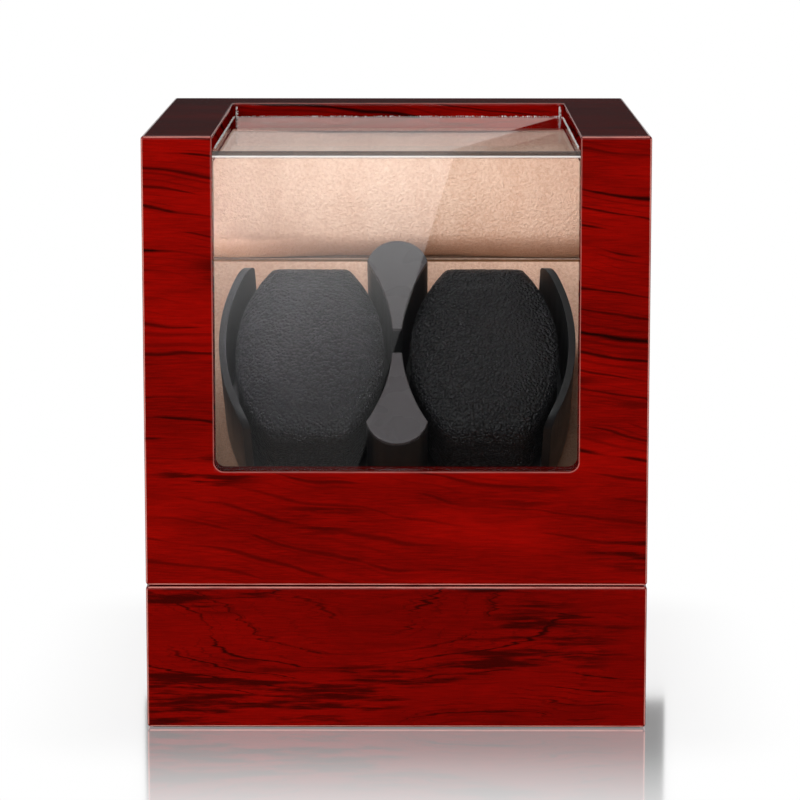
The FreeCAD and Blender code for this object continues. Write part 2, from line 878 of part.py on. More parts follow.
def mode_knob():
    start, end = knob_span()
    knob = panel_rod(switch_place, knob_radius, start, end)
    knob = knob.makeFillet(knob_edge_round, edges_where(knob, lambda p: near(p.y, end)))
    for flute in range(knob_flutes):
        angle = 2 * math.pi * (flute + 0.5) / knob_flutes
        x, z = knob_radius * math.cos(angle), knob_radius * math.sin(angle)
        tool = panel_rod(switch_place + x, knob_flute_radius, start - spare, end + spare)
        tool.translate(Vector(0, 0, z))
        knob = knob.cut(tool)
    width, length, depth = knob_pointer
    pointer_top = panel_height + knob_radius - knob_pointer_rim
    groove = box((switch_place - width / 2, switch_place + width / 2), (end - depth, end + spare),
                 (pointer_top - length, pointer_top))
    return knob.cut(groove).cut(mode_shaft())


# Hinges: side -1 is the base's leaf, with the two end knuckles, and side 1 the lid's, with the middle one

def barrel(radius, x, length):
    return rod(radius, Vector(x - length / 2, hinge_y, hinge_z), Vector(x + length / 2, hinge_y, hinge_z))


def knuckles(side, x):
    quarter = hinge_length / 4
    if side > 0:
        return [(x, 2 * quarter - hinge_play)]
    return [(x - 1.5 * quarter, quarter), (x + 1.5 * quarter, quarter)]


def leaf_screw_places(side):
    z = hinge_z + side * hinge_screw_drop
    return [Vector(end * hinge_place + step * hinge_screw_pitch / 2, back_face, z)
            for end in (-1, 1) for step in (-1, 1)]


def leaf_plate(side, x):
    x_span = (x - hinge_length / 2, x + hinge_length / 2)
    z_span = sorted((hinge_z, hinge_z + side * hinge_leaf_height))
    return box(x_span, (back_face - hinge_leaf_thickness, back_face), z_span)


def hinge_cuts(back_board, side):
    for x in (-hinge_place, hinge_place):
        groove = barrel(hinge_barrel_radius + hinge_play, x, hinge_length + 2 * hinge_play)
        back_board = back_board.cut(leaf_plate(side, x)).cut(groove)
    return cut_holes(back_board, leaf_screw, leaf_screw_places(side), Vector(0, 1, 0), True)


def hinge_leaves(side):
    leaves = []
    for x in (-hinge_place, hinge_place):
        leaf = leaf_plate(side, x)
        for place, length in knuckles(-side, x):
            leaf = leaf.cut(barrel(hinge_barrel_radius + hinge_play, place, length + 2 * hinge_play))
        own_knuckles = [barrel(hinge_barrel_radius, place, length) for place, length in knuckles(side, x)]
        leaf = fused([leaf] + own_knuckles)
        bore = hinge_pin_radius + (running_clearance if side > 0 else 0)
        leaf = leaf.cut(barrel(bore, x, hinge_length + spare))
        leaves.append(cut_holes(leaf, leaf_screw, leaf_screw_places(side), Vector(0, 1, 0), True))
    return leaves


def hinge_pins():
    return [barrel(hinge_pin_radius, x, hinge_length) for x in (-hinge_place, hinge_place)]


# Every piece, by its node name

pieces = {}
pieces.update(base_boards())
pieces["base_floor"] = base_floor()
pieces["base_felt"] = base_felt()
pieces["base_left_lining"] = side_lining(-1, floor_top, base_height - lining_reveal)
pieces["base_right_lining"] = side_lining(1, floor_top, base_height - lining_reveal)
pieces["base_front_lining"] = cross_lining(-1, floor_top, base_height - lining_reveal)
pieces["base_floor_lining"] = floor_lining()
pieces["deck_board"] = deck_board()
pieces["deck_lining"] = deck_lining()
pieces["deck_cheek_left"] = deck_cheek(-1)
pieces["deck_cheek_right"] = deck_cheek(1)
pieces["front_bush"] = in_case(front_bush())
pieces["rear_bush"] = in_case(rear_bush())
pieces["gear_housing"] = gear_housing()
pieces["gear_cover"] = gear_cover()
pieces["housing_screws"] = screw_group(housing_screw, housing_screw_places(), drive_back())
pieces["cover_screws"] = screw_group(cover_screw, cover_screw_places(), drive_back())
pieces["motor_screws"] = screw_group(motor_screw, motor_screw_places(), drive_back() * -1)
pieces["gearhead"] = gearhead()
pieces["motor"] = motor()
pieces["motor_leads"] = motor_leads()
pieces["control_board"] = control_board()
pieces["power_inlet"] = power_inlet()
pieces["inlet_ring"] = inlet_ring()
pieces["mode_switch"] = mode_switch()
pieces["switch_nut"] = switch_nut()
pieces["hinge_base_leaves"] = hinge_leaves(-1)
pieces["hinge_pins"] = hinge_pins()
pieces["hinge_base_screws"] = screw_group(leaf_screw, leaf_screw_places(-1), Vector(0, 1, 0), True)

pieces.update(lid_boards())
pieces["window_pane"] = window_pane()
pieces["lid_roll"] = lid_roll()
pieces["lid_left_lining"] = side_lining(-1, lid_low + lining_reveal, lid_high - wall)
pieces["lid_right_lining"] = side_lining(1, lid_low + lining_reveal, lid_high - wall)
pieces["lid_front_lining"] = cross_lining(-1, lid_low + lining_reveal, window_sill - lining_reveal)
pieces["lid_back_lining"] = cross_lining(1, lid_low + lining_reveal, crease_height)
pieces["hinge_lid_leaves"] = hinge_leaves(1)
pieces["hinge_lid_screws"] = screw_group(leaf_screw, leaf_screw_places(1), Vector(0, 1, 0), True)

pieces["rotor_cup"] = in_case(rotor_cup())
pieces["upper_post_cap"] = in_case(post_cap())
pieces["lower_post_cap"] = in_case(lower(post_cap()))
pieces["rotor_shaft"] = in_case(rotor_shaft())
pieces["rotor_screw"] = in_case(centre_screw())
pieces["rotor_gear"] = in_case(rotor_gear())
pieces["pinion_gear"] = in_case(pinion_gear())
pieces["pinion_shaft"] = in_case(pinion_shaft())
pieces["pillow_left"] = in_case(pillow(-1))
pieces["pillow_right"] = in_case(pillow(1))
pieces["mode_knob"] = mode_knob()
pieces["mode_shaft"] = mode_shaft()

os.makedirs("parts", exist_ok=True)
for name, shape in pieces.items():
    group = shape if isinstance(shape, list) else [shape]
    solids = [solid for member in group for solid in member.Solids]
    for solid in solids:
        if not solid.isValid():
            raise RuntimeError(f"{name} holds a solid that isn't valid")
    whole = solids[0] if len(solids) == 1 else Part.makeCompound(solids)
    whole.exportStep(f"parts/{name}.step")
    print(f"{name}: {len(solids)} solid(s), {whole.Volume / 1000:.2f} cm3")
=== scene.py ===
import json
import math

import bmesh
import bpy
import numpy as np
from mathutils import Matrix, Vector
from mathutils.bvhtree import BVHTree


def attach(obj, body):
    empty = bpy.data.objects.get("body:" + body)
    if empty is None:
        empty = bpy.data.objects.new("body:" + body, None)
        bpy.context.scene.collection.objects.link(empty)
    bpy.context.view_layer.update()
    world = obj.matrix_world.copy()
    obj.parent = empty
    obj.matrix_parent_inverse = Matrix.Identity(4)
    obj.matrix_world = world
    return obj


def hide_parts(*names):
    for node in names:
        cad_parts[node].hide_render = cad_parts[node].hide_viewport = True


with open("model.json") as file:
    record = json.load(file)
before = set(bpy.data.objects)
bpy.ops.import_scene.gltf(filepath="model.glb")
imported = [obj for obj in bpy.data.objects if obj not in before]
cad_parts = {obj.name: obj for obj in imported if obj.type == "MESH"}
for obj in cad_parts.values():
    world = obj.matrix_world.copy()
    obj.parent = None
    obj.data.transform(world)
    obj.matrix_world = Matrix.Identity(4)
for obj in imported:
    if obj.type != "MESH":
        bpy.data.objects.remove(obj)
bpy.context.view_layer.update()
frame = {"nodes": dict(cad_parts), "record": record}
nodes = frame["nodes"]
scene = bpy.context.scene
mm = 0.001
print("frame loaded,", len(nodes), "nodes")


# node trees: one wrapped socket, sums on it add Math nodes
class Wire:
    def __init__(self, tree, socket=None):
        self.tree = tree
        self.socket = socket

    def node(self, kind, settings=None, sockets=None, out=0):
        made = self.tree.nodes.new(kind)
        for key, value in (settings or {}).items():
            setattr(made, key, value)
        for key, value in (sockets or {}).items():
            if isinstance(value, Wire):
                self.tree.links.new(value.socket, made.inputs[key])
            else:
                made.inputs[key].default_value = value
        return Wire(self.tree, made.outputs[out] if made.outputs else None)

    def other(self, out):  # another output of the same node
        return Wire(self.tree, self.socket.node.outputs[out])

    def maths(self, operation, first, second=0.0):
        return self.node("ShaderNodeMath", {"operation": operation}, {0: first, 1: second})

    def smooth(self, low, high):  # 0 to 1 between two values, the other way round if low is above high
        return self.node("ShaderNodeMapRange", {"interpolation_type": "SMOOTHSTEP"},
                         {"Value": self, "From Min": low, "From Max": high})

    def most(self, other):
        return self.maths("MAXIMUM", self, other)

    def least(self, other):
        return self.maths("MINIMUM", self, other)

    def __add__(self, other):
        return self.maths("ADD", self, other)

    def __sub__(self, other):
        return self.maths("SUBTRACT", self, other)

    def __rsub__(self, other):
        return self.maths("SUBTRACT", other, self)

    def __mul__(self, other):
        return self.maths("MULTIPLY", self, other)

    def __truediv__(self, other):
        return self.maths("DIVIDE", self, other)

    def __gt__(self, other):
        return self.maths("GREATER_THAN", self, other)

    def __abs__(self):
        return self.maths("ABSOLUTE", self)

    __radd__ = __add__
    __rmul__ = __mul__


def paint(*screen):  # a screen colour, 0 to 255, as the linear colour that sockets take
    levels = [value / 255 for value in screen]
    return tuple(v / 12.92 if v <= 0.04045 else ((v + 0.055) / 1.055) ** 2.4 for v in levels) + (1.0,)


def newFinish(name):
    material = bpy.data.materials.new(name)
    material.use_nodes = True
    material.node_tree.nodes.clear()
    return material, Wire(material.node_tree)


def closeFinish(wire, sockets):
    shader = wire.node("ShaderNodeBsdfPrincipled", {}, sockets)
    wire.node("ShaderNodeOutputMaterial", {}, {"Surface": shader})


def spotOn(wire):
    return wire.node("ShaderNodeTexCoord", out="Object")


def stretch(spot, scale, shift=(0, 0, 0)):
    return spot.node("ShaderNodeMapping", {}, {"Vector": spot, "Scale": scale, "Location": shift})


def noise(spot, scale, detail=2.0, rough=0.5):
    return spot.node("ShaderNodeTexNoise", {},
                     {"Vector": spot, "Scale": scale, "Detail": detail, "Roughness": rough})


def cells(spot, scale, feature="F1"):
    return spot.node("ShaderNodeTexVoronoi", {"feature": feature}, {"Vector": spot, "Scale": scale})


def mixed(first, second, share):
    return share.node("ShaderNodeMix", {"data_type": "RGBA"}, {0: share, 6: first, 7: second}, out=2)


def bump(height, strength, distance):
    return height.node("ShaderNodeBump", {},
                       {"Height": height, "Strength": strength, "Distance": distance}, out="Normal")


# camera first, at the photograph's viewing angle
cameraSet = {
    "place": (0.0064, -1.2617, 0.3211),
    "pitchDown": 8.97,
    "turnLeft": 0.248,
    "lens": 151.0,
    "sensorWidth": 36,
    "shiftDown": 0.05,
}


def makeCamera(settings):
    data = bpy.data.cameras.new("camera")
    data.lens = settings["lens"]
    data.sensor_width = settings["sensorWidth"]
    data.shift_y = -settings["shiftDown"]
    camera = bpy.data.objects.new("camera", data)
    camera.location = settings["place"]
    pitch, turn = math.radians(90 - settings["pitchDown"]), math.radians(settings["turnLeft"])
    camera.rotation_euler = (pitch, 0, turn)
    scene.collection.objects.link(camera)
    scene.camera = camera


makeCamera(cameraSet)
print("camera set")


# lacquered veneer, one finish for the lid and one for the base
lacquerSet = {
    "deepRed": paint(90, 3, 1),
    "brightRed": paint(134, 6, 2),
    "veinBlack": paint(18, 2, 1),
    # pale edge colour: wear and a painted highlight
    "edgeWearAndHighlight": paint(222, 150, 138),
    "halfWidth": 90 * mm,
    "halfDepth": 85 * mm,
    "edgeWearAndHighlightFrom": 0.83 * mm,
    "edgeWearAndHighlightTo": 0.70 * mm,
    "rimFrom": 0.48 * mm,
    "rimTo": 0.36 * mm,
    "rimShare": 0.42,
    "dullFrom": 1.4 * mm,
    "dullTo": 0.6 * mm,
    "facing": 0.71,
    "sheet": (1, 1, 6),
    "wiggleScale": (38, 60, 8),
    "raggedScale": (50, 820, 20),
    "patchScale": (13, 34, 6),
    "streakScale": (30, 400, 14),
    "poreScale": (140, 2400, 60),
    "mottleScale": (12, 40, 8),
    "rubScale": 90.0,
    "peelScale": 260.0,
    "peelDepth": 0.2 * mm,
}
lineSet = {
    "thinScale": (26, 90, 9),
    "clusterScale": (15, 32, 6),
    "clusterShift": (0.4, 0.7, 0.2),
    "faintShift": 2 * mm,
    "faintGap": 0.37,
    "faintThick": 0.6,
    "faintDark": 0.42,
}
lacquerLid = {
    "low": 53.4 * mm, "high": 215 * mm, "shift": (0.31, 0.12, 0.0), "glow": 1.0,
    "gap": 7.5 * mm, "thick": 1.8 * mm, "slope": 0.15, "bend": 34 * mm, "bendScale": (7, 9, 4),
    "wiggle": 4.6 * mm, "ragged": 0.7 * mm,
    "patches": (0.54, 0.68), "clusters": (0.18, 0.44), "calm": (80 * mm, 112 * mm),
    "window": {"half": 65 * mm, "sill": 95 * mm, "back": 60 * mm,
               "sillCorner": 3.5 * mm, "topCorner": 3 * mm},
}
lacquerBase = {
    "low": 1 * mm, "high": 53 * mm, "shift": (0.47, 0.21, 0.7), "glow": 0.6,
    "gap": 8.5 * mm, "thick": 1.1 * mm, "slope": 0.05, "bend": 85 * mm, "bendScale": (9, 20, 4),
    "wiggle": 7.0 * mm, "ragged": 4.4 * mm,
    "patches": (0.46, 0.58), "clusters": (0.34, 0.56),
}


def grainSpot(wire):
    # x runs along the grain and y across it, on whichever face this is
    spot = spotOn(wire)
    x = wire.node("ShaderNodeSeparateXYZ", {}, {0: spot})
    y, z = x.other(1), x.other(2)
    facingX = wire.node("ShaderNodeSeparateXYZ", {}, {0: wire.node("ShaderNodeTexCoord", out="Normal")})
    onSide = abs(facingX) > lacquerSet["facing"]
    onTop = abs(facingX.other(2)) > lacquerSet["facing"]
    along = x + onSide * (y - x)
    across = z + onTop * (y - z)
    left = x + y + z - along - across
    return (x, y, z), wire.node("ShaderNodeCombineXYZ", {}, {0: along, 1: across, 2: left})


def growthLines(grain, field, gap, thick, clusters):
    # level lines of a field, in clusters; each has its own weight, and thins and breaks along its length
    count = field / gap
    index = count.maths("FLOOR", count + 0.5)
    weight = count.node("ShaderNodeTexWhiteNoise", {"noise_dimensions": "1D"}, {"W": index})
    along = noise(stretch(grain, lineSet["thinScale"]), 1.0, 2.0).smooth(0.28, 0.66)
    width = (weight * 0.55 + 0.45) * (along * 0.7 + 0.3) * (thick / gap)
    near = noise(stretch(grain, lineSet["clusterScale"], lineSet["clusterShift"]), 1.0, 1.0)
    line = abs(count - index).smooth(width, width * 0.1) * (weight * 0.35 + 0.65)
    return line * (along.smooth(0.05, 0.5) * 0.8 + 0.2) * (near.smooth(*clusters) * 0.85 + 0.15)


def toOpening(first, half, second, limit, corner):  # distance from the outline of a round-cornered cut
    outFirst = (abs(first) - (half - corner)).most(0.0)
    outSecond = (second - (limit - corner)).most(0.0)
    return first.maths("SQRT", outFirst * outFirst + outSecond * outSecond) - corner


def lacquer(name, settings):
    material, wire = newFinish(name)
    (x, y, z), flat = grainSpot(wire)
    grain = stretch(flat, lacquerSet["sheet"], settings["shift"])
    along = grain.node("ShaderNodeSeparateXYZ", {}, {0: grain})
    bend = noise(stretch(grain, settings["bendScale"]), 1.0, 1.0) - 0.5
    wiggle = noise(stretch(grain, lacquerSet["wiggleScale"]), 1.0, 1.0) - 0.5
    ragged = noise(stretch(grain, lacquerSet["raggedScale"]), 1.0, 2.0) - 0.5
    field = (along.other(1) + along * settings["slope"] + bend * settings["bend"]
             + wiggle * settings["wiggle"] + ragged * settings["ragged"])
    gap, thick, clusters = settings["gap"], settings["thick"], settings["clusters"]
    lines = growthLines(grain, field, gap, thick, clusters)
    faint = growthLines(grain, field + lineSet["faintShift"], gap * lineSet["faintGap"],
                        thick * lineSet["faintThick"], clusters)
    lines = lines.most(faint * lineSet["faintDark"])
    if "calm" in settings:  # fainter lines on the rail under the window
        lines = lines * (z.smooth(*settings["calm"]) * 0.4 + 0.6)
    # streaky dark patches
    region = noise(stretch(grain, lacquerSet["patchScale"]), 1.0, 1.0).smooth(*settings["patches"])
    streaks = noise(stretch(grain, lacquerSet["streakScale"]), 1.0, 4.0, 0.62)
    patch = streaks.smooth(0.44, 0.62) * region * 0.8
    fibres = streaks.smooth(0.50, 0.72) * 0.3
    pores = noise(stretch(grain, lacquerSet["poreScale"]), 1.0, 2.0).smooth(0.25, 0.75)
    mottle = noise(stretch(grain, lacquerSet["mottleScale"]), 1.0, 2.0).smooth(0.3, 0.7)
    bright = (mottle * 0.7 + pores * 0.3) * settings["glow"]
    red = mixed(lacquerSet["deepRed"], lacquerSet["brightRed"], bright)
    dark = lines.most(patch).most(fibres).most((1 - pores) * 0.14)
    wood = mixed(red, lacquerSet["veinBlack"], dark)
    # rubbed edges: wear, and a painted highlight along the rounded edges
    fromSide = lacquerSet["halfWidth"] - abs(x)
    fromFront = lacquerSet["halfDepth"] - abs(y)
    fromEnd = (z - settings["low"]).least(settings["high"] - z)
    toEdge = fromSide + fromFront + fromEnd - fromSide.most(fromFront).most(fromEnd)
    rubbed = noise(grain, lacquerSet["rubScale"], 2.0).smooth(0.2, 0.6) * 0.4 + 0.3
    worn = toEdge.smooth(lacquerSet["edgeWearAndHighlightFrom"], lacquerSet["edgeWearAndHighlightTo"]) * rubbed
    # the window's rim gets the same wear and painted highlight
    if "window" in settings:
        cut = settings["window"]
        front = toOpening(x, cut["half"], 0 - z, -cut["sill"], cut["sillCorner"])
        top = toOpening(x, cut["half"], y, cut["back"], cut["topCorner"])
        toRim = (front + (y + lacquerSet["halfDepth"])).least(top + (settings["high"] - z))
        rim = toRim.smooth(lacquerSet["rimFrom"], lacquerSet["rimTo"]) * rubbed
        worn = worn.most(rim * lacquerSet["rimShare"])
    # cut faces stay dull
    outer = fromSide.least(fromFront).least(fromEnd).smooth(lacquerSet["dullFrom"], lacquerSet["dullTo"])
    peel = noise(grain, lacquerSet["peelScale"], 1.0)
    closeFinish(wire, {
        "Base Color": mixed(wood, lacquerSet["edgeWearAndHighlight"], worn), "Roughness": pores * 0.1 + 0.4,
        "Specular IOR Level": 0.0, "Coat Weight": (rubbed * 0.1 + 0.47) * outer,
        "Coat Roughness": 0.03, "Coat IOR": 1.42, "Normal": bump(peel, 0.02, lacquerSet["peelDepth"])})
    return material


# suede cloth on the deck, the linings and the lid's roll
suedeSet = {
    "pale": paint(254, 219, 197),
    "deep": paint(226, 182, 158),
    "napScale": 900.0,
    "fleckScale": 2400.0,
    "napDepth": 0.04 * mm,
    "bumpDepth": 0.9 * mm,
    # painted shade: darker cloth low in the deck's well and behind the roll
    "paintedShade": paint(120, 88, 68),
    # painted shade: warmer, darker cloth where the roll turns under
    "paintedWarmShade": paint(200, 140, 104),
    "well": (84 * mm, 128 * mm),
    "underRoll": (150 * mm, 166 * mm),
    "behindRoll": (150 * mm, 190 * mm),
    "brushScale": (70, 70, 24),
}


def suede(name, settings, shade=None, low=None):
    material, wire = newFinish(name)
    spot = spotOn(wire)
    nap = noise(spot, settings["napScale"], 3.0, 0.6)
    fleck = noise(spot, settings["fleckScale"], 2.0)
    brushed = noise(stretch(spot, settings["brushScale"]), 1.0, 2.0)
    tone = nap.smooth(0.35, 0.65) * 0.55 + fleck.smooth(0.35, 0.65) * 0.2 + brushed.smooth(0.3, 0.7) * 0.25
    colour = mixed(settings["deep"], settings["pale"], tone)
    if low:  # painted shade: darker cloth low down
        z = wire.node("ShaderNodeSeparateXYZ", {}, {0: spot}, out=2)
        colour = mixed(settings[shade], colour, z.smooth(*settings[low]) * 0.8 + brushed * 0.2)
    closeFinish(wire, {
        "Base Color": colour, "Roughness": 0.92, "Specular IOR Level": 0.12, "Sheen Weight": 0.2,
        "Sheen Roughness": 0.45, "Sheen Tint": settings["pale"],
        "Normal": bump(nap + fleck * 0.4, 1.0, settings["bumpDepth"])})
    return material


# pebbled black leather on the pillows; its cells are also raised in the mesh
leatherSet = {
    "top": paint(32, 31, 33),
    "crease": paint(4, 4, 5),
    "cellsPerMetre": 900.0,
    "grainDepth": 0.15 * mm,
    "bumpDepth": 0.75 * mm,
    "fineScale": 3200.0,
    "toneScale": 120.0,
}


def leather(name, settings):
    material, wire = newFinish(name)
    spot = spotOn(wire)
    pebble = cells(spot, settings["cellsPerMetre"])
    fine = noise(spot, settings["fineScale"], 2.0)
    tone = noise(spot, settings["toneScale"], 2.0)
    rise = pebble.smooth(0.75, 0.25)
    colour = mixed(settings["crease"], settings["top"], rise * 0.75 + tone * 0.25)
    closeFinish(wire, {
        "Base Color": colour, "Roughness": 0.46 - rise * 0.12 + fine * 0.08, "Specular IOR Level": 0.45,
        "Normal": bump(rise + fine * 0.2, 1.0, settings["bumpDepth"])})
    return material


# black moulded plastic of the rotor, the drive housing and the back panel
mouldedSet = {
    "rotor": {"colour": paint(18, 18, 19), "scuffed": paint(44, 44, 46),
              "rough": 0.36, "grain": 1500.0, "depth": 0.03 * mm},
    "drive": {"colour": paint(34, 34, 36), "scuffed": paint(60, 60, 62),
              "rough": 0.5, "grain": 1100.0, "depth": 0.05 * mm},
    "panel": {"colour": paint(24, 24, 25), "scuffed": paint(52, 52, 54),
              "rough": 0.42, "grain": 2200.0, "depth": 0.03 * mm},
    "gear": {"colour": paint(232, 228, 214), "scuffed": paint(206, 198, 176),
             "rough": 0.4, "grain": 900.0, "depth": 0.02 * mm},
}


flowScale = (40, 40, 90)
scuffScale = (900, 140, 300)


def moulded(name, settings):
    material, wire = newFinish(name)
    spot = spotOn(wire)
    grain = noise(spot, settings["grain"], 2.0)
    flow = noise(stretch(spot, flowScale), 1.0, 3.0)
    scuff = noise(stretch(spot, scuffScale), 1.0, 3.0).smooth(0.60, 0.78) * flow.smooth(0.4, 0.7)
    colour = mixed(settings["colour"], settings["scuffed"], scuff * 0.5 + flow * 0.15)
    closeFinish(wire, {"Base Color": colour,
                       "Roughness": flow * 0.1 + scuff * 0.12 + (settings["rough"] - 0.05),
                       "Normal": bump(grain, 0.4, settings["depth"])})
    return material


# satin grey lacquer on the two fan caps
capSet = {"low": paint(72, 67, 69), "high": paint(81, 76, 78), "cloud": 90.0, "brush": (420, 30, 30),
          "depth": 0.02 * mm}


def capSatin(name, settings):
    material, wire = newFinish(name)
    spot = spotOn(wire)
    cloud = noise(spot, settings["cloud"], 2.0).smooth(0.3, 0.7)
    brush = noise(stretch(spot, settings["brush"]), 1.0, 2.0)
    closeFinish(wire, {"Base Color": mixed(settings["low"], settings["high"], cloud * 0.5 + brush * 0.4),
                       "Metallic": cloud * 0.02 + 0.14, "Roughness": cloud * 0.02 + 0.27,
                       "Normal": bump(brush, 0.03, settings["depth"])})
    return material


# clear acrylic: see-through, with its gloss by Fresnel; at the bonded front corner the top pane's edge is
# painted as two bands, a painted dark reflection and a painted highlight
acrylicSet = {
    "clear": paint(252, 253, 253),
    "index": 1.49,
    "mirror": 0.7,
    "frontFace": -83.5 * mm,
    "whiteBand": (207.9 * mm, 207.3 * mm),
    "bandSoft": 0.15 * mm,
    "whiteSoft": 0.25 * mm,
    "cornerFrom": 0.9 * mm,
    "cornerTo": 0.3 * mm,
    "hazeScale": 60.0,
    "grey": paint(38, 35, 34),
    "white": paint(208, 204, 201),
}


def acrylic(name, settings):
    material, wire = newFinish(name)
    spot = spotOn(wire)
    index = settings["index"]
    behind = wire.node("ShaderNodeNewGeometry", out="Backfacing")
    fresnel = wire.node("ShaderNodeFresnel", {}, {"IOR": behind * (1 / index - index) + index})
    haze = noise(spot, settings["hazeScale"], 2.0)
    gloss = wire.node("ShaderNodeBsdfGlossy", {}, {"Color": (1, 1, 1, 1), "Roughness": haze * 0.02 + 0.005})
    through = wire.node("ShaderNodeBsdfTransparent", {}, {"Color": settings["clear"]})
    sheet = wire.node("ShaderNodeMixShader", {}, {0: fresnel * settings["mirror"], 1: through, 2: gloss})
    y = wire.node("ShaderNodeSeparateXYZ", {}, {0: spot}, out=1)
    z = y.other(2)
    front = settings["frontFace"]
    onCorner = y.smooth(front + settings["cornerFrom"], front + settings["cornerTo"])
    middle, low = settings["whiteBand"]  # painted dark reflection above the middle, painted highlight down to the low edge
    upper = z.smooth(middle - settings["bandSoft"], middle + settings["bandSoft"])
    lower = z.smooth(low - settings["whiteSoft"], low + settings["whiteSoft"]) * (1 - upper)
    band = mixed(settings["white"], settings["grey"], upper)
    edge = wire.node("ShaderNodeBsdfPrincipled", {}, {"Base Color": band, "Roughness": haze * 0.1 + 0.1})
    banded = (upper * 0.85 + lower * 0.9) * onCorner
    shader = wire.node("ShaderNodeMixShader", {}, {0: banded, 1: sheet, 2: edge})
    wire.node("ShaderNodeOutputMaterial", {}, {"Surface": shader})
    return material


# metals: plated steel, bronze bushes, nickel ring and nut, brass hinges
metalSet = {
    "steel": {"pale": paint(196, 197, 199), "dull": paint(150, 151, 154),
              "rough": 0.26, "brush": (1400, 160, 1400)},
    "bronze": {"pale": paint(196, 150, 92), "dull": paint(140, 100, 58),
               "rough": 0.42, "brush": (700, 700, 700)},
    "nickel": {"pale": paint(214, 213, 210), "dull": paint(170, 168, 164),
               "rough": 0.18, "brush": (900, 900, 200)},
    "brass": {"pale": paint(232, 190, 108), "dull": paint(176, 132, 62),
              "rough": 0.4, "brush": (160, 1200, 1400)},
}


stainScale = 160.0
brushDepth = 0.05 * mm


def metal(name, settings):
    material, wire = newFinish(name)
    spot = spotOn(wire)
    brush = noise(stretch(spot, settings["brush"]), 1.0, 2.0)
    stain = noise(spot, stainScale, 3.0, 0.6).smooth(0.45, 0.8)
    closeFinish(wire, {"Base Color": mixed(settings["pale"], settings["dull"], stain * 0.4 + brush * 0.2),
                       "Metallic": 1.0,
                       "Roughness": stain * 0.2 + brush * 0.12 + (settings["rough"] - 0.06),
                       "Normal": bump(brush, 0.08, brushDepth)})
    return material


# felt under the base
feltSet = {"dark": paint(18, 18, 19), "pale": paint(54, 54, 56), "fibre": (900, 900, 300), "tuftScale": 420.0,
           "pile": 0.3 * mm}


def felt(name, settings):
    material, wire = newFinish(name)
    spot = spotOn(wire)
    fibre = noise(stretch(spot, settings["fibre"]), 1.0, 4.0, 0.7)
    tuft = cells(spot, settings["tuftScale"])
    closeFinish(wire, {"Base Color": mixed(settings["dark"], settings["pale"], fibre.smooth(0.4, 0.75)),
                       "Roughness": 0.96, "Specular IOR Level": 0.1, "Sheen Weight": 0.2,
                       "Normal": bump(fibre + tuft * 0.3, 0.8, settings["pile"])})
    return material


# bare fibreboard of the floor, the deck and its cheeks
boardSet = {"pale": paint(196, 162, 116), "dark": paint(150, 114, 72), "fibre": (260, 900, 900),
            "chipScale": 700.0, "depth": 0.15 * mm}


def bareBoard(name, settings):
    material, wire = newFinish(name)
    spot = spotOn(wire)
    fibre = noise(stretch(spot, settings["fibre"]), 1.0, 4.0, 0.65)
    chip = cells(spot, settings["chipScale"]).smooth(0.2, 0.8)
    closeFinish(wire, {"Base Color": mixed(settings["dark"], settings["pale"], fibre * 0.7 + chip * 0.3),
                       "Roughness": fibre * 0.15 + 0.75, "Normal": bump(fibre, 0.5, settings["depth"])})
    return material


# green circuit board with copper tracks, and the two wire colours
circuitSet = {"mask": paint(18, 84, 44), "track": paint(52, 128, 72), "trackScale": 260.0, "trackWidth": 0.06,
              "speckScale": 900.0, "depth": 0.05 * mm}
leadSet = {"red": paint(168, 22, 18), "black": paint(22, 22, 24), "split": -10.2 * mm, "dullScale": 800.0,
           "depth": 0.05 * mm}


def circuitBoard(name, settings):
    material, wire = newFinish(name)
    spot = spotOn(wire)
    tracks = wire.node("ShaderNodeTexBrick", {"offset": 0.5}, {
        "Vector": stretch(spot, (1, 0, 1)), "Scale": settings["trackScale"],
        "Mortar Size": settings["trackWidth"]}, out="Fac")
    speck = noise(spot, settings["speckScale"], 2.0)
    closeFinish(wire, {"Base Color": mixed(settings["mask"], settings["track"], tracks * 0.8),
                       "Roughness": speck * 0.2 + 0.3, "Normal": bump(tracks, 0.3, settings["depth"])})
    return material


def leadCover(name, settings):
    material, wire = newFinish(name)
    spot = spotOn(wire)
    x = wire.node("ShaderNodeSeparateXYZ", {}, {0: spot})
    side = x > settings["split"]
    dull = noise(spot, settings["dullScale"], 2.0)
    closeFinish(wire, {"Base Color": mixed(settings["black"], settings["red"], side),
                       "Roughness": dull * 0.2 + 0.35, "Normal": bump(dull, 0.2, settings["depth"])})
    return material


# beads of clear cement, and the painted dots at the knob
cementSet = {"body": paint(236, 232, 228), "cloud": paint(255, 255, 255), "cloudScale": 1400.0}
dotSet = {"paint": paint(226, 224, 218), "worn": paint(150, 146, 140), "chipScale": 2600.0,
          "depth": 0.03 * mm}


def cement(name, settings):
    material, wire = newFinish(name)
    spot = spotOn(wire)
    cloud = noise(spot, settings["cloudScale"], 3.0)
    body = wire.node("ShaderNodeBsdfPrincipled", {}, {
        "Base Color": mixed(settings["body"], settings["cloud"], cloud), "Roughness": cloud * 0.2 + 0.06})
    through = wire.node("ShaderNodeBsdfTransparent", {}, {"Color": (1, 1, 1, 1)})
    milky = cloud.smooth(0.35, 0.65) * 0.55 + 0.15
    shader = wire.node("ShaderNodeMixShader", {}, {0: milky, 1: through, 2: body})
    wire.node("ShaderNodeOutputMaterial", {}, {"Surface": shader})
    return material


def dotPaint(name, settings):
    material, wire = newFinish(name)
    spot = spotOn(wire)
    chip = noise(spot, settings["chipScale"], 3.0)
    closeFinish(wire, {"Base Color": mixed(settings["paint"], settings["worn"], chip.smooth(0.5, 0.8)),
                       "Roughness": chip * 0.2 + 0.4, "Normal": bump(chip, 0.2, settings["depth"])})
    return material


